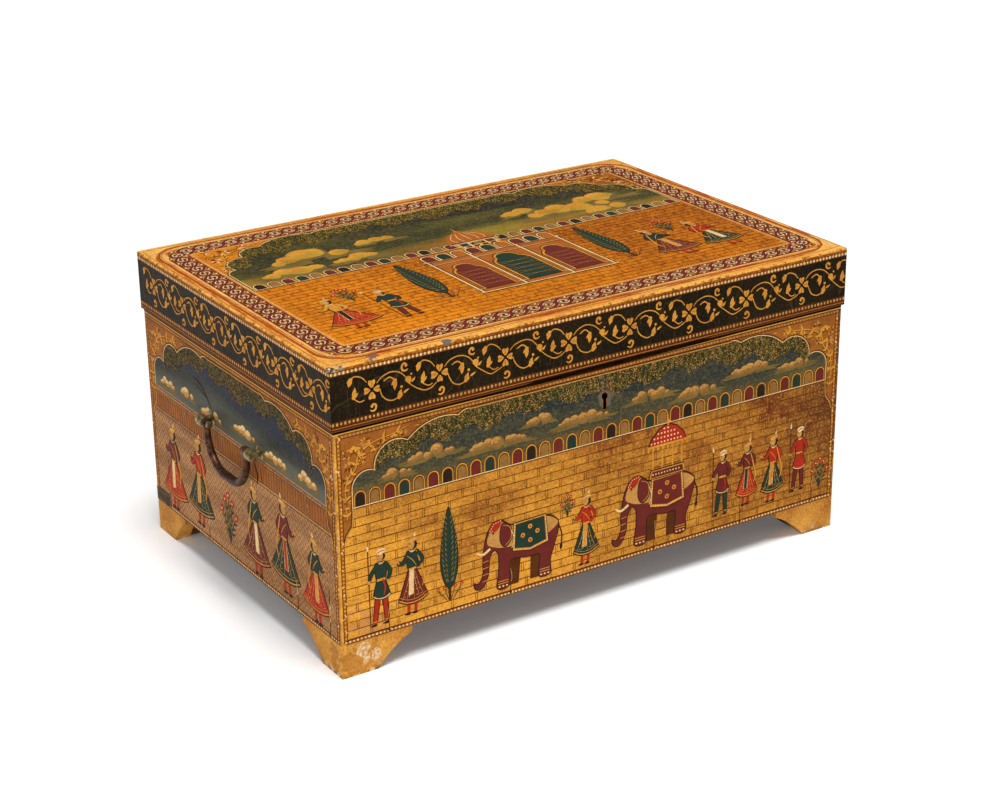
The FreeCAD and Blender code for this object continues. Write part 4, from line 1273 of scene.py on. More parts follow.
def peacock(brush: Brush) -> None:
    """Draw a peacock looking left, about 60 long.

    Args:
        brush: the hand at its foot.
    """
    for turn in range(-16, 24, 8):
        angle = math.radians(turn)
        tip = (10 + 42 * math.cos(angle), 16 + 42 * math.sin(angle))
        brush.stroke(HAZE, [(6, 18), ((6 + tip[0]) / 2, (18 + tip[1]) / 2 + 1), tip], 2.6, 0, (1, 0.5))
        for share in (0.45, 0.72, 1.0):
            x, z = 6 + (tip[0] - 6) * share, 18 + (tip[1] - 18) * share
            brush.dot(GOLD, x, z, 2.2, 1)
            brush.dot(GREEN, x, z, 1.2, 2)
    for x in (-1, 3):
        brush.rule(BROWN, [(x, 12), (x - 0.6, 0)], 0.8, 0)
    brush.fill(GREEN, [(10, 20), (2, 11), (-6, 12), (-10, 20), (-11, 31), (-14, 37), (-11, 40), (-8, 37),
                       (-5, 28), (2, 24)], 3, True, 0.7)
    brush.leaf(GOLD, -13, 37.6, 3.4, 1.6, 190, 4)
    brush.dot(CREAM, -11.4, 38, 0.6, 4, sides=6)
    for turn in (70, 90, 110):
        brush.stroke(INK, [(-11, 40), (-11 + 4 * math.cos(math.radians(turn)), 46)], 0.5, 3, smooth=False)
    brush.stroke(GOLD, [(-6, 16), (0, 15), (6, 19)], 0.8, 4)


def pavilion(brush: Brush) -> None:
    """Draw a garden pavilion of three bays under a dome, 150 wide and 190 high.

    Args:
        brush: the hand at its foot.
    """
    brush.fill(ORANGE, [(-75, 0), (75, 0), (75, 104), (-75, 104)], 0)
    for z, thick in ((0, 3.4), (9, 1.4), (93, 1.4), (104, 3.0)):
        brush.rule(BROWN, [(-79, z), (79, z)], thick + 1, 1)
        brush.rule(CREAM, [(-79, z + 0.4), (79, z + 0.4)], thick * 0.5, 2)
    for x in (-75, -27, 27, 75):
        brush.rule(BROWN, [(x + 0.8, 1), (x + 0.8, 104)], 4.2, 1)
        brush.rule(CREAM, [(x, 1), (x, 104)], 2.0, 3)
    for x, half, height in ((-51, 18, 76), (0, 21, 82), (51, 18, 76)):
        bay = brush.moved(x, 9)
        inner, spring, shoulder = half * 0.62, height * 0.62, height * 0.84
        head = lobes((half, spring), [(inner, shoulder, -3), (0, height, -4), (-inner, shoulder, -4),
                                      (-half, spring, -3)], 5)
        outline = [(-half, 0), (half, 0)] + head
        bay.fill(BROWN, [(px * 1.06, pz * 1.02) for px, pz in outline], 1)
        bay.fill(GOLD, outline, 2)
        bay.fill(MAROON if x else GREEN, [(px * 0.9, pz * 0.97) for px, pz in outline], 3)
        for step in range(5):
            z = 8 + step * height * 0.13
            bay.stroke(GOLD, [(-half * 0.86, z), (half * 0.86, z + 6)], 0.6, 4, smooth=False)
            bay.stroke(GOLD, [(-half * 0.86, z + 6), (half * 0.86, z)], 0.6, 4, smooth=False)
    for number in range(9):
        niche(brush.moved(-68 + 17 * number, 104), (MAROON, GREEN, ORANGE)[number % 3], CREAM)
    dome = brush.moved(0, 121)
    dome.fill(GOLD, [(-23, 0), (23, 0), (23, 14), (-23, 14)], 1)
    for x in (-19, -9.5, 0, 9.5, 19):
        dome.rule(CREAM, [(x, 0), (x, 15)], 1.5, 3)
    for x in (-14, -5, 5, 14):
        dome.fill(INK, [(x - 2.8, 1), (x + 2.8, 1), (x + 2.8, 12), (x - 2.8, 12)], 2)
    dome.fill(BROWN, [(-29, 14), (29, 14), (25, 19), (-25, 19)], 2)
    dome.fill(ORANGE, [(-22, 19), (22, 19), (24, 30), (17, 42), (7, 48), (0, 53), (-7, 48), (-17, 42),
                       (-24, 30)], 2, smooth=True)
    for share in (-0.75, -0.4, 0, 0.4, 0.75):
        dome.stroke(CREAM, [(21 * share, 20), (24 * share, 31), (11 * share, 46)], 0.8, 3)
    dome.rule(CREAM, [(-29, 15), (29, 15)], 1.5, 4)
    dome.stroke(GOLD, [(0, 50), (0, 62)], 2.0, 3, (1, 0.2), smooth=False)


# Painted faces of the body


@dataclass
class PaintedFace:
    """One painted face of the body: border, cusped arch, sky, wall and what stands before it."""

    brush: Brush
    foot: float = 43.0
    wall_top: float = 203.0
    leaves: tuple[Paint, ...] = (HAZE, LEAF, DUN, MOSS, TAN)

    @property
    def half(self) -> float:
        """Half of the face's width."""
        return self.brush.face.half

    def corner(self, layer: float) -> Brush:
        """Give the hand at the face's lower left corner, over some layers."""
        return self.brush.moved(-self.half, 0, layer=layer)

    def arch(self) -> list[Point]:
        """Give the left half of the arch's line, from the wall up to the middle.

        Returns:
            The line's points.
        """
        left = -self.half
        line = lobes((left + 20.3, 225), [(left + 48.3, 241, 8.6), (left + 90.6, 265.7, 15.5),
                                          (left + 155.6, 279.6, 9.0), (left + 172, 283.4, 2.4)])
        return [(left + 20.3, self.wall_top)] + line + [(0, 283.8)]

    def border(self) -> None:
        """Draw the rows of beads between brown lines, all round."""
        side = self.half - 5.9
        low, high = self.foot + 1, 288.0
        rows = [(TAN, (-side, high), (side, high)), (CREAM, (-side, low), (side, low)),
                (GOLD, (-side, low), (-side, high)), (GOLD, (side, low), (side, high))]
        for paint, start, end in rows:
            level = 4 if start[1] == end[1] else 3
            self.brush.rule(RUST, [start, end], 4.6, level - 2)
            self.brush.beads(paint, start, end, 4.85, 2.7, 2.7, level - 1)
            for shift in (-2.2, 2.2):
                across = (0, shift) if start[1] == end[1] else (shift, 0)
                line = [(x + across[0], z + across[1]) for x, z in (start, end)]
                self.brush.rule(BROWN, line, 0.7, level)

    def notch(self) -> list[Point]:
        """Give the left half of the way round the keyhole, from its top to its foot, if the face has one.

        Returns:
            The line's points.
        """
        _, z, reach = self.brush.face.keep_out
        if not reach:
            return []
        head, middle, half_slot, foot = 5.3, z + 6, 3.0, z - 11.2
        ring = [(-head * math.sin(math.radians(turn)), middle + head * math.cos(math.radians(turn)))
                for turn in (0, 30, 60, 90, 120, 145)]
        return ring + [(-half_slot, foot), (0, foot)]

    def sky(self) -> None:
        """Lay the sky in two halves that leave the keyhole open, and the gold line of its arch."""
        line = self.arch()
        whole = replace(self.brush, face=replace(self.brush.face, keep_out=(0.0, 0.0, 0.0)))
        for half in whole.halves():
            half.fill(SKY, line + self.notch() + [(0, self.wall_top)], 1)
        left = -self.half
        jamb = [(left + 9, self.wall_top - 40), (left + 12, self.wall_top - 31),
                (left + 19, self.wall_top - 22), (left + 20.3, self.wall_top - 8)]
        edge = jamb + line
        corner = [(0, 285.6), (left + 8.4, 285.6), (left + 8.4, self.wall_top - 42)]
        for half in self.brush.halves():
            half.fill(RUST, corner[2:] + edge + corner[:2], 1)
            half.rule(BROWN, [(px - 0.9, pz + 0.8) for px, pz in edge], 1.6, 4)
            half.rule(TAN, edge, 1.3, 5)
            half.rule(CREAM, edge[4:-3], 0.7, 6)
            half = half.moved(left, 0)
            spandrel(half.over(1), [(14, 190), (12.5, 214), (15, 236), (26, 248), (30, 262), (48, 273),
                                    (72, 277), (92, 282)],
                     [(24, 268, 0.95), (48, 263, 0.5), (74, 273, 0.55), (14, 224, 0.4), (103, 279, 0.34),
                      (14, 203, 0.36)])
            for x, z, size in ((17, 252, 2.0), (38, 276, 1.9), (58, 268, 1.7), (34, 256, 1.5), (86, 276, 1.3),
                               (14, 236, 1.6), (14, 212, 1.5), (118, 282, 0.9)):
                foliage(half.moved(x, z, size, layer=3), (GOLD, TAN, BROWN), 4.2)

    def fringe(self) -> None:
        """Hang tufts of leaves under the arch, in scallops."""
        hang_foliage(self.brush.over(2), self.arch(), self.half - 50, 5.0, 27, self.leaves)

    def clouds(self, places: list[Triple], paints: tuple[Paint, ...] = (HAZE, DUN, TAN)) -> None:
        """Draw cloud banks; each place is x from the left end, z and width."""
        for x, z, width in places:
            cloud(self.corner(2).moved(x, z), width, paints)

    def wall(self) -> None:
        """Draw the arcade along the wall's top and the bricks below."""
        inner = self.half - 20.5
        arcade(self.brush.over(2), -inner, inner, self.wall_top, 18.2)
        bricks(self.brush.over(1), -self.half + 8.6, self.half - 8.6,
               self.foot + 4, self.wall_top - 2, 10.2)

    def losses(self, count: int) -> None:
        """Scatter small losses where the pale ground shows, mostly along the upright edges.

        Args:
            count: how many there are along the upright edges.
        """
        brush, rng = self.brush, self.brush.rng
        for _ in range(count):
            side = rng.choice((-1, 1))
            x = side * (self.half - rng.uniform(0.6, 7.5))
            z = rng.uniform(self.foot, 288)
            brush.dot(CREAM, x, z, rng.uniform(0.35, 1.1), 4, rng.uniform(0.8, 2.2), rng.uniform(-20, 20),
                      sides=6)
        for _ in range(count // 3):
            x = rng.uniform(-self.half, self.half)
            z = rng.uniform(60, 200)
            length = rng.uniform(2, 9)
            brush.stroke(CREAM, [(x, z), (x + length * 0.4, z + length)], 0.3, 4, (0.1, 0.1), False)
        for share in (-0.83, -0.37, 0.21, 0.58, 0.9):
            x, z = self.half * share, self.foot + 1
            run = [(x + rng.uniform(-1, 1), z + step * rng.uniform(6, 11)) for step in range(7)]
            brush.stroke(BROWN, run, 0.7, 4, (1, 0.1), steps=3)
            brush.stroke(CREAM, [(px + 0.5, pz) for px, pz in run[2:5]], 0.35, 5, (0.2, 0.2), steps=3)
            brush.dot(INK, x, z + 0.6, 1.9, 5, 0.7, sides=7)
            brush.dot(CREAM, x + 2.6, z + 1.6, 1.0, 5, 0.7, sides=6)


@dataclass
class LongFace(PaintedFace):
    """The front or the back: the long scene before the brick wall."""

    figures: bool = True

    def paint(self) -> None:
        """Paint the whole face."""
        self.wall()
        self.sky()
        self.fringe()
        self.clouds([(76, 228, 34), (120, 239, 58), (206, 231, 74), (262, 246, 34), (322, 233, 70),
                     (418, 240, 56), (486, 229, 60), (566, 240, 62), (632, 231, 50)])
        self.border()
        self.losses(46)
        if self.figures:
            self.procession()
        else:
            self.garden()

    def procession(self) -> None:
        """Draw two decked elephants among attendants, guards and trees."""
        near, far = self.corner(3), self.corner(2)
        guard(near.moved(52, 52, 0.98), GREEN, RED)
        attendant(near.moved(92, 54, 1.0), MAROON, GREEN, CREAM)
        cypress(far.moved(140, 58, 1.15))
        elephant(far.moved(236, 52, 1.0), GREEN, canopy=False)
        attendant(near.moved(326, 50, 0.95), GREEN, RED, GOLD)
        elephant(far.moved(430, 54, 1.04), MAROON, canopy=True)
        guard(near.moved(526, 60, 0.9), MAROON, GREEN)
        attendant(near.moved(564, 64, 0.88), RED, MAROON, GREEN)
        attendant(near.moved(604, 58, 0.94), GREEN, RED, GOLD)
        guard(near.moved(646, 62, 0.9), RED, MAROON)
        shrub(far.moved(680, 58, 0.7))
        shrub(far.moved(300, 118, 0.5))

    def garden(self) -> None:
        """Draw trees, shrubs and peacocks in a row."""
        for number in range(9):
            x = 60 + number * 73
            if number % 2:
                shrub(self.corner(2).moved(x, 54, 1.5))
            else:
                cypress(self.corner(2).moved(x, 54, 1.2))
        for x in (96, 388, 534):
            peacock(self.corner(3).moved(x, 50, 0.8))


@dataclass
class EndFace(PaintedFace):
    """A short end: attendants on a net ground before a fluted parapet."""

    leaves: tuple[Paint, ...] = (MOSS, DUN, MOSS, HAZE)

    def paint(self) -> None:
        """Paint the whole face."""
        self.ground()
        self.sky()
        self.fringe()
        self.clouds([(56, 211, 38), (112, 216, 34), (176, 210, 52), (262, 218, 54), (336, 211, 50),
                     (412, 213, 44)], (HAZE, TAN, CREAM))
        # Dark strokes on the end: a rubbed streak above the back post, and dark marks below the front post.
        for dark_mark, width in (([(-106, 248), (-82, 242), (-60, 222)], 2.6), ([(-98, 240), (-72, 232)], 1.4),
                             ([(40, 196), (52, 180), (49, 166)], 2.4), ([(60, 188), (64, 172)], 1.4)):
            self.brush.stroke(INK, dark_mark, width, 3, (0.1, 0.1))
        self.border()
        self.losses(30)
        looks = [(58, 1.18, RED, MAROON, CREAM), (130, 1.24, GREEN, RED, GOLD),
                 (276, 1.2, MAROON, GREEN, CREAM), (348, 1.26, GREEN, MAROON, RED),
                 (420, 1.1, RED, GREEN, GOLD)]
        for number, (x, size, skirt, coat, sash) in enumerate(looks):
            spot = self.corner(3).moved(x, 46 + 5 * (number % 2), size, flip=number > 1)
            attendant(spot, skirt, coat, sash, 1.45)
        shrub(self.corner(2).moved(207, 60, 1.1))

    def ground(self) -> None:
        """Draw the net of the ground and the flutes of the parapet."""
        low, high = self.foot + 3, 169.0
        inner = self.half - 8.6
        pitch = 8.0
        for lean in (-1, 1):
            count = math.ceil((2 * inner + high - low) / pitch)
            for number in range(count):
                x = -inner - (high - low if lean > 0 else 0) + number * pitch
                start, end = (x, low), (x + lean * (high - low), high)
                start, end = clipped(start, end, -inner, inner)
                if abs(end[0] - start[0]) > 3:
                    self.brush.stroke(BROWN, [start, end], 0.28, 1, (0.8, 0.8), smooth=False)
        for z in (169, 173, 196, 200):
            self.brush.rule(BROWN, [(-inner, z), (inner, z)], 0.9, 2)
        count = round(2 * inner / 6.4)
        for number in range(count):
            x = -inner + 2 * inner * (number + 0.5) / count
            self.brush.fill(RUST, [(x + px, 174 + pz) for px, pz in niche_outline(2.5, 20.6)], 1)
            self.brush.rule(BROWN, [(x + 2.9, 174), (x + 2.9, 195)], 0.6, 2)


def clipped(start: Point, end: Point, low: float, high: float) -> tuple[Point, Point]:
    """Cut a slanting line to the span from low to high.

    Args:
        start, end: the line's ends.
        low, high: the span.
    Returns:
        The ends of what is left.
    """
    slope = (end[1] - start[1]) / (end[0] - start[0])
    cut = []
    for x, z in (start, end):
        there = min(max(x, low), high)
        cut.append((there, z + (there - x) * slope))
    return cut[0], cut[1]


# Lid


@dataclass
class Skirt:
    """One side of the lid: a gold vine on black between two rows of beads."""

    brush: Brush
    units: int
    first: float
    pitch: float
    full_pitch: float = 84.0

    def paint(self) -> None:
        """Paint the side."""
        brush, rng, half = self.brush, self.brush.rng, self.brush.face.half
        for paint, middle, wide in ((CREAM, 360.8, 4.9), (TAN, 304.0, 5.6)):
            brush.rule(BROWN, [(-half, middle), (half, middle)], wide + 1.0, 1)
            if paint is CREAM:
                brush.rule(RUST, [(-half, middle), (half, middle)], wide - 1.6, 2)
            brush.beads(paint, (-half + 2, middle), (half - 2, middle), 4.95, 2.9, 3.8, 2)
        brush.rule(ORANGE, [(-half, 299.2), (half, 299.2)], 1.3, 1)
        for number in range(self.units + 1):
            x = self.first + self.pitch * number
            frieze_unit(brush.moved(x, 334, layer=1), self.pitch / self.full_pitch)
        for number in range(5 * self.units):
            x, z = rng.uniform(-half, half), rng.uniform(312, 358)
            length = rng.uniform(3, 22)
            brush.stroke(HAZE, [(x, z), (x + rng.uniform(-0.5, 0.5), max(z - length, 309))], 0.25, 2,
                         (0.3, 0.3), smooth=False)


@dataclass
class LidTop:
    """The top of the lid: gold margin, knotted border and the garden scene."""

    brush: Brush
    half_x: float = 355.0
    half_z: float = 240.0
    band_in: float = 17.8
    band_wide: float = 27.0
    long_inset: float = 4.5
    baseline: float = 23.5
    ring_steps: int = 120

    def ring(self, paint: Paint, inset: float, width: float, radius: float, level: float) -> None:
        """Lay a closed band round the top at an inset.

        Args:
            paint: the pot.
            inset: how far in its middle lies.
            width: its width.
            radius: its corners' radius.
            level: how many layers lie under its top.
        """
        path = self.path(inset, radius)
        steps = self.ring_steps
        spots = [path.at(path.length * step / steps, aside) for aside in (width / 2, -width / 2)
                 for step in range(steps)]
        cells = [[step, after, steps + after, steps + step]
                 for step, after in ((step, (step + 1) % steps) for step in range(steps))]
        self.brush.canvas.lay(self.brush.face, paint, spots, cells, self.brush.layer + level)

    def border(self) -> None:
        """Draw the stripes, the dotted lines and the knotted band."""
        middle = self.band_in + self.band_wide / 2
        self.ring(MAROON, middle, self.band_wide, 19, 1)
        self.ring(TAN, self.band_in + self.band_wide + 3.0, 2.4, 4, 1)
        self.ring(BROWN, self.band_in - 4.6, 0.6, 33, 1)
        self.ring(ORANGE, 9.4, 3.6, 38, 1)
        self.ring(RED, 9.9, 1.3, 38, 2)
        self.ring(ORANGE, 3.8, 1.1, 5, 1)
        for inset, radius in ((self.band_in - 2.4, 31), (self.band_in + self.band_wide + 3.0, 4)):
            path = self.path(inset, radius)
            count = round(path.length / 3.7)
            for number in range(count):
                x, z = path.at(path.length * number / count)
                self.brush.dot(CREAM, x, z, 1.0, 2, sides=6)
        path = self.path(middle, 19)
        count = round(path.length / 20)
        pitch = path.length / count
        for number in range(count):
            self.knot(path, pitch * number, pitch)
        path = self.path(8.5, 40)
        rng = self.brush.rng
        for _ in range(130):
            start = rng.uniform(0, path.length)
            length = rng.uniform(10, 55)
            aside = rng.uniform(-3.5, 3.5)
            streak = [path.at(start + length * step / 4, aside + rng.uniform(-0.5, 0.5)) for step in range(5)]
            paint = rng.choice((ORANGE, ORANGE, RED))
            self.brush.stroke(paint, streak, rng.uniform(0.5, 2.0), 1, (0.1, 0.1), steps=2)

    def path(self, inset: float, radius: float) -> RoundedPath:
        """Give the path round the top at an inset, which is wider along the front and the back."""
        return RoundedPath(self.half_x - inset, self.half_z - inset - self.long_inset, radius)

    def knot(self, path: RoundedPath, start: float, pitch: float) -> None:
        """Draw one eye of the interlaced band, with the scrolls over and under the next crossing.

        Args:
            path: the band's middle.
            start: where the eye starts on it.
            pitch: the eye's length.
        """
        def along(points: list[Point]) -> list[Point]:
            """Bend a drawing of the straight band round the path."""
            return [path.at(start + share * pitch + 0.12 * aside, aside * self.band_wide / 27)
                    for share, aside in points]

        for side in (-1, 1):
            eye = along([(0.16, side), (0.3, side * 4.3), (0.5, side * 6.0), (0.7, side * 4.3), (0.84, side)])
            self.brush.stroke(CREAM, eye, 1.5, 2, (0.4, 0.4), steps=3)
            scroll = along([(0.62, side * 10.6), (0.86, side * 8.8), (1.0, side * 5.6), (1.14, side * 8.8),
                            (1.38, side * 10.6)])
            self.brush.stroke(TAN, scroll, 1.9, 2, (0.3, 0.3), steps=3)
            for share, aside in ((0.5 + 0.14 * side, side * 0.9), (1.0, side * 10.6)):
                x, z = along([(share, aside)])[0]
                self.brush.dot(CREAM, x, z, 2.0, 3, 0.75, self.brush.rng.uniform(0, 90), sides=8)

    def arch(self) -> list[Point]:
        """Give the left half of the arch's line.

        Returns:
            The line's points.
        """
        line = lobes((-303.5, 86), [(-289, 104, 5), (-261, 142, 14), (-226, 168, 12), (-150, 178, 13),
                                    (-128, 182, 2.5)])
        return [(-303.5, self.baseline)] + line + [(0, 183)]

    def scene(self) -> None:
        """Draw the sky, the wall and what stands before it."""
        brush = self.brush
        line = self.arch()
        for half in brush.halves():
            half.fill(SKY, line + [(0, self.baseline)], 1)
            half.rule(BROWN, [(x - 0.9, z + 0.9) for x, z in line], 1.8, 2)
            half.rule(CREAM, line, 1.2, 3)
            spandrel(half.over(1),
                     [(-298, 98), (-297, 118), (-284, 140), (-278, 158), (-252, 172), (-224, 177)],
                     [(-286, 166, 1.0), (-262, 178, 0.6), (-296, 128, 0.5)])
            for x, z, size in ((-272, 172, 3.0), (-292, 148, 2.6), (-244, 180, 2.2), (-296, 112, 1.8),
                               (-290, 184, 2.2)):
                foliage(half.moved(x, z, size, layer=2), (BROWN, CREAM, MAROON), 4.2)
        before = brush.over(2)
        hang_foliage(before, line, 290, 6.0, 40, (LEAF, STRAW, DUN, MOSS))
        gold = (HAZE, STRAW, GOLD)
        banks = [(-238, 54, 34, 2.2), (-190, 88, 36, 2.8), (-146, 58, 36, 1.8), (-96, 104, 30, 1.8),
                 (172, 74, 40, 2.9), (232, 92, 30, 2.5), (214, 50, 36, 1.8), (108, 98, 26, 1.8)]
        for x, z, width, tall in banks:
            cloud(before.moved(x, z, tall), width, gold)
        arcade(before, -303, 303, self.baseline + 1, 18.4, CREAM)
        bricks(brush.over(1), -303, 303, -182, self.baseline - 3, 9.2)
        pavilion(before.moved(0, -130, 1.22))
        for x in (-128, 128):
            cypress(before.moved(x, -122, 1.35))
        attendant(before.moved(-258, -152, 1.1), RED, GOLD, INK, 1.5)
        guard(before.moved(-192, -150, 1.0), GREEN, MAROON)
        attendant(before.moved(190, -150, 1.1, flip=True), MAROON, GREEN, GOLD, 1.5)
        attendant(before.moved(256, -152, 1.08, flip=True), GREEN, RED, CREAM, 1.4)
        shrub(before.moved(-226, -70, 0.8))
        shrub(before.moved(224, -68, 0.8))

    def paint(self) -> None:
        """Paint the whole top."""
        self.border()
        self.scene()


def block(name: str, low: Vector, high: Vector) -> bpy.types.Object:
    """Model a plain block and leave it alone selected.

    Args:
        name: its name.
        low, high: its corners.
    Returns:
        The block.
    """
    bpy.ops.object.select_all(action="DESELECT")
    bpy.ops.mesh.primitive_cube_add(size=1)
    piece = bpy.context.object
    piece.name = name
    piece.data.transform(Matrix.Translation((low + high) / 2) @ Matrix.Diagonal((*(high - low), 1)))
    return piece


@dataclass
class LidPanel:
    """The board on top of the lid, with its rounded edge, a little lower to leave room for paint."""

    low: Vector
    high: Vector
    room: float = 0.0007
    corner_round: float = 0.0035
    top_round: float = 0.003
    foot_round: float = 0.0014

    def build(self) -> bpy.types.Object:
        """Model the board.

        Returns:
            The board.
        """
        top = self.high.z - self.room
        piece = block("lid_panel_painted", self.low, Vector((self.high.x, self.high.y, top)))
        bpy.ops.object.mode_set(mode="EDIT")
        bpy.ops.mesh.select_mode(type="EDGE")
        self.select(piece, lambda a, b: abs(a.z - b.z) > 1e-4)
        bpy.ops.mesh.bevel(offset=self.corner_round, segments=3)
        self.select(piece, lambda a, b: min(a.z, b.z) > top - 1e-5)
        bpy.ops.mesh.bevel(offset=self.top_round, segments=5)
        self.select(piece, lambda a, b: max(a.z, b.z) < self.low.z + 1e-5)
        bpy.ops.mesh.bevel(offset=self.foot_round, segments=3)
        bpy.ops.object.mode_set(mode="OBJECT")
        bpy.ops.object.shade_smooth_by_angle(angle=math.radians(35))
        bpy.ops.object.modifier_add(type="WEIGHTED_NORMAL")
        piece.modifiers[-1].keep_sharp = True
        bpy.ops.object.modifier_apply(modifier=piece.modifiers[-1].name)
        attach(piece, "lid")
        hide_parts("lid_panel")
        return piece

    def select(self, piece: bpy.types.Object, wanted: Callable[[Vector, Vector], bool]) -> None:
        """Select the edges whose ends pass a test.

        Args:
            piece: the board, in edit mode.
            wanted: the test of an edge's two ends.
        """
        bpy.ops.mesh.select_all(action="DESELECT")
        bpy.ops.object.mode_set(mode="OBJECT")
        corners = piece.data.vertices
        for edge in piece.data.edges:
            edge.select = wanted(corners[edge.vertices[0]].co, corners[edge.vertices[1]].co)
        bpy.ops.object.mode_set(mode="EDIT")


@dataclass
class RepairPlate:
    """The bare repair at the left end's lower back corner, just proud of the paint, with its two nails."""

    proud: float = 0.0014
    thick: float = 0.003
    edge: float = 0.0006
    nail: float = 0.0015
    nail_shares: Point = (0.2, 0.8)

    def build(self) -> list[bpy.types.Object]:
        """Model the plate and the nails.

        Returns:
            The plate and the nails.
        """
        low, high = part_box("corner_patch")
        face = low.x - self.proud
        plate = block("corner_repair", Vector((face, low.y, low.z)),
                      Vector((face + self.thick, high.y, high.z)))
        bpy.ops.object.modifier_add(type="BEVEL")
        plate.modifiers[-1].width = self.edge
        bpy.ops.object.modifier_apply(modifier=plate.modifiers[-1].name)
        driven = []
        for share in self.nail_shares:
            spot = (face, low.y + (high.y - low.y) * share, (low.z + high.z) / 2)
            bpy.ops.mesh.primitive_cylinder_add(vertices=12, radius=self.nail, depth=self.edge, location=spot,
                                                rotation=(0, math.pi / 2, 0))
            bpy.ops.object.transform_apply()
            driven.append(bpy.context.object)
        driven[0].select_set(True)
        bpy.ops.object.join()
        nails = driven[-1]
        nails.name = "corner_repair_nails"
        for piece, slot in ((plate, "repair_wood"), (nails, "lock_iron")):
            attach(piece, "carcase")
        return [plate, nails]


# Finishes of the boards and the metal


@dataclass(frozen=True)
class BoardFinish:
    """Gold ground on the outer faces of a board, bare wood on the others, with painted shade in the keyhole
    and under the lid, and a painted highlight along the top edge.
    """

    face_y: float = 0.2364
    end_x: float = 0.3514
    highlit_edge_z: float = 0.2904
    under_lid_shade_z: float = 0.2918
    keyhole: Triple = (0.0, -0.2305, 0.2525)
    smear: Triple = (-0.324, -0.2365, 0.057)

    def material(self, name: str) -> bpy.types.Material:
        """Mix the ground.

        Args:
            name: the material's name.
        Returns:
            The material.
        """
        recipe = Recipe(name)
        on_long = recipe.span(recipe.away(recipe.y), self.face_y - 0.0001, self.face_y)
        on_end = recipe.span(recipe.away(recipe.x), self.end_x - 0.0001, self.end_x)
        painted = recipe.either(on_long, on_end)
        cloud = recipe.noise(7.0, 5.0)
        streak = recipe.noise(60.0, 4.0, (0.08, 0.08, 1.0))
        across = recipe.span(recipe.x, -0.36, 0.36)
        rise = recipe.span(recipe.z, 0.05, 0.24)
        drift = recipe.plus(recipe.times(across, 0.66), recipe.times(rise, 0.34))
        drift = recipe.plus(drift, recipe.span(cloud, 0.3, 0.75, -0.28, 0.26))
        patch = recipe.noise(34.0, 5.0, (0.7, 0.7, 1.3), 2.0)
        drift = recipe.plus(drift, recipe.span(patch, 0.3, 0.7, -0.3, 0.22))
        colour = recipe.mix(drift, (240, 166, 58), (126, 58, 26))
        upper = recipe.span(recipe.z, 0.04, 0.16)
        far = recipe.times(recipe.span(recipe.x, 0.23, 0.34, 0.0, 0.85), upper)
        colour = recipe.mix(far, colour, (92, 50, 32))
        green = recipe.mix(recipe.span(streak, 0.35, 0.65), (190, 138, 96), (156, 114, 82))
        colour = recipe.mix(recipe.times(on_end, 0.9), colour, green)
        colour = recipe.mix(recipe.span(streak, 0.42, 0.7, 0.0, 0.35), colour, (116, 64, 22))
        colour = recipe.mottled(colour, (246, 178, 68), (96, 50, 16), 0.4)
        crack = recipe.cracks(75.0, 0.018)
        colour = recipe.mix(recipe.times(crack, 0.35), colour, (84, 48, 24))
        bare = recipe.wood()
        # Painted shade: the bare wood in and round the keyhole darkened almost to black.
        bare = recipe.mix(recipe.spot(self.keyhole, 0.014), bare, (16, 12, 9))
        smear = recipe.spot(self.smear, 0.013, 2.2)
        colour = recipe.mix(recipe.times(smear, 0.5), colour, (190, 128, 84))
        # Painted highlight and wear: a bright gold line along the top edge, where light catches it and the
        # gold is rubbed.
        highlit_edge = recipe.span(recipe.z, self.highlit_edge_z, self.highlit_edge_z + 0.0003)
        colour = recipe.mix(highlit_edge, colour, (238, 172, 70))
        # Painted shade: a near-black band along the board's top edge, standing in for the shadow under the
        # lid.
        under_lid_shade = recipe.span(recipe.z, self.under_lid_shade_z, self.under_lid_shade_z + 0.0004)
        colour = recipe.mix(under_lid_shade, colour, (8, 5, 3))
        colour = recipe.mix(painted, bare, colour)
        relief = recipe.less(recipe.times(cloud, 0.8), recipe.times(crack, 0.25))
        return recipe.done(colour, recipe.span(painted, 0, 1, 0.7, 0.36), bump=relief, depth=0.0004)


@dataclass(frozen=True)
class FriezeFinish:
    """Worn black ground on a rail's outer faces, bare wood inside, and painted shade on the middle of the
    front rail's lower rim.
    """

    end_x: float = 0.3538
    face_y: float = 0.2388
    rim_z: float = 0.2976
    lid_gap_shade: Triple = (0.02, -0.239, 0.2955)

    def material(self, name: str) -> bpy.types.Material:
        """Mix the ground.

        Args:
            name: the material's name.
        Returns:
            The material.
        """
        recipe = Recipe(name)
        outer = recipe.outside(self.end_x, self.face_y, 0.0001)
        cloud = recipe.noise(14.0, 5.0)
        fine = recipe.noise(300.0, 4.0)
        colour = recipe.mix(recipe.span(cloud, 0.35, 0.7), (22, 17, 8), (40, 30, 14))
        colour = recipe.mottled(colour, (70, 50, 26), (10, 8, 5), 0.4)
        crack = recipe.cracks(22.0, 0.008, (1.0, 1.0, 0.22))
        colour = recipe.mix(recipe.times(crack, 0.3), colour, (96, 74, 50))
        rim = recipe.span(recipe.z, self.rim_z, self.rim_z - 0.0006)
        colour = recipe.mix(rim, colour, (104, 60, 26))
        # Painted shade: the middle of the front rail's lower rim turned near-black, where the lid stands off
        # the body.
        lid_gap_shade = recipe.times(recipe.spot(self.lid_gap_shade, 0.13, 0.1), rim)
        colour = recipe.mix(lid_gap_shade, colour, (8, 5, 3))
        colour = recipe.mix(outer, recipe.wood(), colour)
        return recipe.done(colour, recipe.span(fine, 0.3, 0.7, 0.3, 0.44), bump=fine)


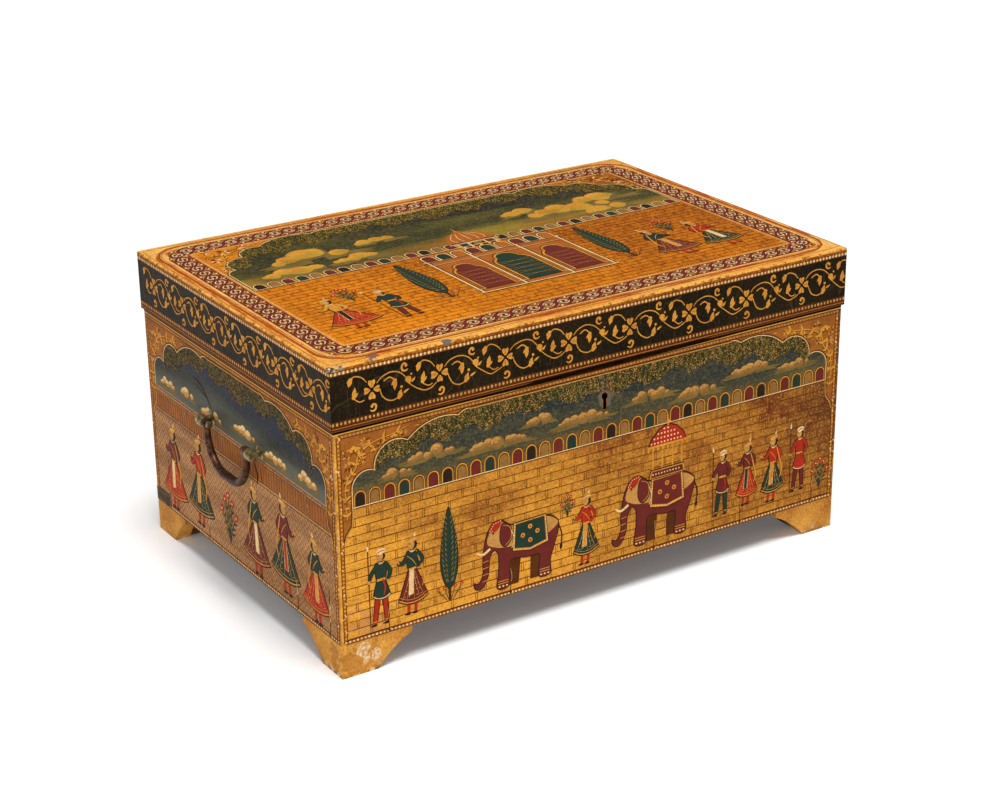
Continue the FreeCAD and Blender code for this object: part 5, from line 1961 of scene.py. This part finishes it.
@dataclass(frozen=True)
class LidGroundFinish:
    """Gold margin and amber field of the lid's top, its dents and chips along the front, and a painted
    highlight along its rounded edge.
    """

    margin: Point = (0.3315, 0.2165)
    highlit_edge: Point = (0.3526, 0.2376)
    highlight_end_z: float = 0.3668
    under_z: float = 0.3634
    left_dent: Triple = (-0.299, -0.233, 0.3685)
    right_dent: Triple = (-0.211, -0.238, 0.3685)
    corner_chip: Triple = (-0.352, -0.238, 0.3665)
    front_chip: Triple = (-0.340, -0.2395, 0.368)

    def material(self, name: str) -> bpy.types.Material:
        """Mix the ground.

        Args:
            name: the material's name.
        Returns:
            The material.
        """
        recipe = Recipe(name)
        cloud = recipe.noise(6.0, 5.0)
        fine = recipe.noise(240.0, 4.0)
        streak = recipe.noise(50.0, 4.0, (0.1, 1.0, 1.0))
        across = recipe.span(recipe.x, -0.3, 0.34)
        rise = recipe.span(recipe.y, -0.19, 0.06)
        drift = recipe.plus(recipe.times(across, 0.5), recipe.times(rise, 0.3))
        drift = recipe.plus(drift, recipe.span(cloud, 0.3, 0.75, -0.2, 0.3))
        field_colour = recipe.mix(drift, (240, 138, 12), (132, 50, 1))
        edge = recipe.mix(recipe.span(cloud, 0.35, 0.65), (255, 200, 104), (236, 148, 50))
        # Painted highlight: the top of the rounded edge is light gold and the side below a darker gold; the
        # ticks and dark patches laid over it are wear.
        side = recipe.span(recipe.z, self.highlight_end_z, self.highlight_end_z - 0.0008)
        highlit_worn_edge = recipe.mix(side, (240, 176, 84), (146, 76, 24))
        tick = recipe.times(recipe.cracks(30.0, 0.03), recipe.span(fine, 0.35, 0.55))
        highlit_worn_edge = recipe.mix(tick, highlit_worn_edge, (84, 46, 20))
        highlit_worn_edge = recipe.mix(recipe.span(recipe.noise(120.0, 4.0), 0.5, 0.64, 0.0, 0.85), highlit_worn_edge, (132, 68, 24))
        edge = recipe.mix(recipe.outside(*self.highlit_edge, 0.0008), edge, highlit_worn_edge)
        colour = recipe.mix(recipe.outside(*self.margin, 0.001), field_colour, edge)
        colour = recipe.mix(recipe.span(streak, 0.45, 0.7, 0.0, 0.3), colour, (118, 58, 12))
        colour = recipe.mottled(colour, (250, 172, 46), (96, 42, 4), 0.38)
        crack = recipe.cracks(60.0, 0.016)
        colour = recipe.mix(recipe.times(crack, 0.3), colour, (90, 50, 24))
        grey = recipe.either(recipe.spot(self.left_dent, 0.007), recipe.spot(self.right_dent, 0.006))
        colour = recipe.mix(grey, colour, (112, 102, 94))
        gesso = recipe.either(recipe.spot(self.corner_chip, 0.006, 1.5),
                              recipe.spot(self.front_chip, 0.004, 1.5))
        chipped = recipe.mix(recipe.span(fine, 0.42, 0.56), (204, 184, 150), (78, 54, 34))
        colour = recipe.mix(gesso, colour, chipped)
        under = recipe.span(recipe.z, self.under_z, self.under_z - 0.0004)
        colour = recipe.mix(under, colour, recipe.wood(stretch=(0.05, 1.0, 1.0)))
        relief = recipe.less(recipe.times(cloud, 0.8), recipe.times(crack, 0.25))
        return recipe.done(colour, recipe.span(fine, 0.3, 0.7, 0.3, 0.44), bump=relief, depth=0.0004)


@dataclass(frozen=True)
class FootFinish:
    """Ochre paint, flaked to pale ground on the near front foot."""

    stain: Triple = (-0.332, -0.2365, 0.018)
    wide_flake: Triple = (-0.322, -0.2365, 0.027)
    small_flake: Triple = (-0.308, -0.2365, 0.02)

    def material(self, name: str) -> bpy.types.Material:
        """Mix the paint.

        Args:
            name: the material's name.
        Returns:
            The material.
        """
        recipe = Recipe(name)
        cloud = recipe.noise(22.0, 6.0)
        fine = recipe.noise(300.0, 4.0)
        colour = recipe.mix(recipe.span(cloud, 0.35, 0.68), (222, 158, 68), (176, 106, 40))
        colour = recipe.mottled(colour, (250, 196, 104), (124, 70, 28), 0.32)
        stain = recipe.spot(self.stain, 0.017, 2.0)
        colour = recipe.mix(recipe.times(stain, 0.42), colour, (140, 78, 28))
        flaked = recipe.either(recipe.spot(self.wide_flake, 0.0115, 1.3),
                               recipe.spot(self.small_flake, 0.007, 1.3))
        ground = recipe.mix(recipe.span(fine, 0.4, 0.6), (238, 206, 158), (196, 142, 88))
        colour = recipe.mix(flaked, colour, ground)
        low = recipe.span(recipe.z, 0.011, 0.0)
        # Darker towards the bottom of the foot.
        bottom_darkening = recipe.times(low, recipe.span(cloud, 0.4, 0.6))
        colour = recipe.mix(bottom_darkening, colour, (88, 60, 38))
        chip = recipe.times(low, recipe.span(recipe.noise(110.0, 4.0, shift=4.0), 0.54, 0.6))
        colour = recipe.mix(chip, colour, (226, 196, 150))
        relief = recipe.less(cloud, recipe.times(flaked, 0.4))
        return recipe.done(colour, 0.46, bump=relief, depth=0.0005)


@dataclass(frozen=True)
class WoodFinish:
    """Plain wood with its grain along one axis."""

    light: Shade
    dark: Shade
    stretch: Triple = (0.05, 1.0, 1.0)

    def material(self, name: str) -> bpy.types.Material:
        """Mix the wood.

        Args:
            name: the material's name.
        Returns:
            The material.
        """
        recipe = Recipe(name)
        fine = recipe.noise(500.0, 3.0, self.stretch)
        return recipe.done(recipe.wood(self.light, self.dark, self.stretch), 0.7, bump=fine, depth=0.0002)


@dataclass(frozen=True)
class MetalFinish:
    """Old metal: bright where hands rub it, dull and stained elsewhere."""

    bright: Shade
    dull: Shade
    stain: Shade
    metallic: float
    roughness: float

    def material(self, name: str) -> bpy.types.Material:
        """Mix the metal.

        Args:
            name: the material's name.
        Returns:
            The material.
        """
        recipe = Recipe(name)
        cloud = recipe.noise(70.0, 5.0)
        fine = recipe.noise(700.0, 4.0)
        colour = recipe.mix(recipe.span(cloud, 0.35, 0.65), self.bright, self.dull)
        colour = recipe.mix(recipe.span(fine, 0.5, 0.7, 0.0, 0.6), colour, self.stain)
        blot = recipe.noise(190.0, 4.0, shift=5.0)
        colour = recipe.mix(recipe.span(blot, 0.5, 0.6, 0.0, 0.75), colour, self.stain)
        roughness = recipe.span(cloud, 0.3, 0.7, self.roughness, self.roughness + 0.2)
        return recipe.done(colour, roughness, metallic=self.metallic, bump=cloud, depth=0.0005)


class SlotFinish(Enum):
    """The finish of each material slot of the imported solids."""

    painted_wood = BoardFinish()
    painted_lid = LidGroundFinish()
    black_frieze = FriezeFinish()
    ochre_wood = FootFinish()
    bare_wood = WoodFinish((128, 86, 50), (88, 58, 34))
    repair_wood = WoodFinish((126, 108, 88), (84, 68, 54), (1.0, 0.08, 1.0))
    handle_iron = MetalFinish((118, 82, 58), (66, 44, 32), (40, 28, 22), 0.6, 0.32)
    lock_iron = MetalFinish((92, 80, 68), (60, 50, 42), (94, 58, 36), 0.7, 0.45)
    brass = MetalFinish((186, 164, 110), (132, 122, 86), (84, 62, 38), 0.8, 0.3)


class Solids:
    """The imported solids, each in the finish of its material slot."""

    def dress(self) -> None:
        """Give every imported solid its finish."""
        made = {finish.name: finish.value.material(finish.name) for finish in SlotFinish}
        for part in frame["record"]["subparts"]:
            mesh = frame["nodes"][part["node"]].data
            mesh.materials.clear()
            mesh.materials.append(made[part["material_slot"]])
        self.made = made


# Camera, floor and light


@dataclass
class Studio:
    """A white floor, soft lamps and the camera at the photograph's viewing angle."""

    azimuth: float = -0.57257
    elevation: float = 0.38394
    roll: float = -0.01147
    distance: float = 2.7119
    target: Triple = (0.01068, 0.0, 0.17466)
    lens: float = 78.875
    sensor: float = 36.0
    sun: float = 2.55
    sun_place: Triple = (0.0, -0.2, 1.0)
    fill: float = 19.0
    fill_place: Triple = (-1.3, -2.35, 0.46)
    side_fill: float = 8.0
    side_fill_place: Triple = (-2.6, -0.3, 0.9)
    ambient: float = 0.26
    floor_size: float = 30.0

    def camera(self) -> None:
        """Set up the camera."""
        back = Vector((math.sin(self.azimuth) * math.cos(self.elevation),
                       -math.cos(self.azimuth) * math.cos(self.elevation), math.sin(self.elevation)))
        right = Vector((math.cos(self.azimuth), math.sin(self.azimuth), 0))
        up = back.cross(right)
        across = right * math.cos(self.roll) + up * math.sin(self.roll)
        upward = up * math.cos(self.roll) - right * math.sin(self.roll)
        data = bpy.data.cameras.new("camera")
        data.sensor_fit = "HORIZONTAL"
        data.sensor_width = self.sensor
        data.lens = self.lens
        data.clip_end = 2 * self.floor_size
        camera = bpy.data.objects.new("camera", data)
        turned = Matrix((across, upward, back)).transposed().to_4x4()
        camera.matrix_world = Matrix.Translation(Vector(self.target) + back * self.distance) @ turned
        bpy.context.scene.collection.objects.link(camera)
        bpy.context.scene.camera = camera

    def floor(self) -> None:
        """Lay a floor that the camera sees as white and that keeps the chest's shadow."""
        bpy.ops.object.select_all(action="DESELECT")
        bpy.ops.mesh.primitive_plane_add(size=self.floor_size)
        floor = bpy.context.object
        floor.name = "studio_floor"
        recipe = Recipe("studio_floor")
        path = recipe.add("ShaderNodeLightPath", {})
        plain = recipe.add("ShaderNodeBsdfDiffuse", {"Color": (0.8, 0.8, 0.8, 1)})
        pale = recipe.add("ShaderNodeBsdfDiffuse", {"Color": (1, 1, 1, 1)})
        lift = recipe.add("ShaderNodeEmission", {"Color": (1, 1, 1, 1), "Strength": 0.05})
        white = recipe.add("ShaderNodeAddShader", {0: pale.outputs[0], 1: lift.outputs[0]})
        mirrored = recipe.either(path.outputs["Is Glossy Ray"], path.outputs["Is Transmission Ray"])
        straight = recipe.either(path.outputs["Is Camera Ray"], mirrored)
        mixed = recipe.add("ShaderNodeMixShader", {0: straight, 1: plain.outputs[0], 2: white.outputs[0]})
        recipe.add("ShaderNodeOutputMaterial", {0: mixed.outputs[0]})
        floor.data.materials.append(recipe.material)

    def lamp(self, name: str, place: Triple, size: float, energy: float) -> None:
        """Hang one soft square lamp that looks at the chest.

        Args:
            name: its name.
            place: where it hangs.
            size: its side in metres.
            energy: its power in watts.
        """
        data = bpy.data.lights.new(name, "AREA")
        data.shape = "SQUARE"
        data.size = size
        data.energy = energy
        lamp = bpy.data.objects.new(name, data)
        lamp.location = place
        lamp.rotation_euler = (Vector(self.target) - Vector(place)).to_track_quat("-Z", "Y").to_euler()
        bpy.context.scene.collection.objects.link(lamp)

    def light(self) -> None:
        """Light the chest from above and behind, with soft fills from the front and the left."""
        data = bpy.data.lights.new("overhead", "SUN")
        data.energy = self.sun
        data.angle = math.radians(25)
        sun = bpy.data.objects.new("overhead", data)
        sun.rotation_euler = Vector(self.sun_place).to_track_quat("Z", "Y").to_euler()
        bpy.context.scene.collection.objects.link(sun)
        self.lamp("front_fill", self.fill_place, 1.0, self.fill)
        self.lamp("left_fill", self.side_fill_place, 1.6, self.side_fill)
        world = bpy.data.worlds.new("studio")
        bpy.context.scene.world = world
        world.use_nodes = True
        tree = world.node_tree
        path = tree.nodes.new("ShaderNodeLightPath")
        level = tree.nodes.new("ShaderNodeMapRange")
        level.inputs["To Min"].default_value = self.ambient
        tree.links.new(path.outputs["Is Camera Ray"], level.inputs["Value"])
        background = tree.nodes["Background"]
        background.inputs["Color"].default_value = (1, 1, 1, 1)
        tree.links.new(level.outputs["Result"], background.inputs["Strength"])

    def build(self) -> None:
        """Set up everything round the chest."""
        self.camera()
        self.floor()
        self.light()
        bpy.context.scene.view_settings.view_transform = "Standard"


def upright_faces(low: Vector, high: Vector) -> dict[str, Face]:
    """Give the four upright faces of a box about the origin.

    Args:
        low, high: its corners in metres.
    Returns:
        The faces, by the names of their sides.
    """
    sides = {
        "front": ((0, low.y, 0), (1, 0, 0), high.x),
        "back": ((0, high.y, 0), (-1, 0, 0), high.x),
        "left": ((low.x, 0, 0), (0, -1, 0), high.y),
        "right": ((high.x, 0, 0), (0, 1, 0), high.y),
    }
    return {name: Face(Vector(origin), Vector(across), Vector((0, 0, 1)), half / MM)
            for name, (origin, across, half) in sides.items()}


def main() -> None:
    """Build and dress the chest, sub-assembly by sub-assembly."""
    solids = Solids()
    solids.dress()
    log.info("dressed %d packed solids", len(frame["nodes"]))

    body = Canvas("carcase", "painted_wood")
    faces = upright_faces(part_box("front_board")[0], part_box("back_board")[1])
    faces["front"] = replace(faces["front"], keep_out=KEYHOLE)
    for name, face in faces.items():
        if name in ("front", "back"):
            LongFace(Brush(body, face, random.Random(7)), figures=name == "front").paint()
        else:
            EndFace(Brush(body, face, random.Random(7))).paint()
        log.info("painted the %s", name)
    for piece in body.finish():
        log.info("made %s", piece.name)

    for piece, finish in zip(RepairPlate().build(), ("repair_wood", "lock_iron")):
        piece.data.materials.append(solids.made[finish])
        log.info("made %s", piece.name)

    low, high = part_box("lid_panel")
    panel = LidPanel(low, high)
    board = panel.build()
    board.data.materials.append(solids.made["painted_lid"])
    log.info("made %s", board.name)

    lid = Canvas("lid", "painted_lid")
    for name, face in upright_faces(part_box("lid_front_rail")[0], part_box("lid_back_rail")[1]).items():
        if name in ("front", "back"):
            Skirt(Brush(lid, face, random.Random(8)), units=8, first=-304.0, pitch=84.1).paint()
        else:
            Skirt(Brush(lid, face, random.Random(6)), units=6, first=-196.0, pitch=78.5).paint()
        log.info("painted the lid's %s", name)
    top = Face(Vector((0, 0, high.z - panel.room)), Vector((1, 0, 0)), Vector((0, 1, 0)), high.x / MM)
    LidTop(Brush(lid, top, random.Random(11))).paint()
    for piece in lid.finish():
        log.info("made %s", piece.name)

    Studio().build()


if __name__ == "__main__":
    logging.basicConfig(level=logging.INFO, format="%(message)s")
    main()
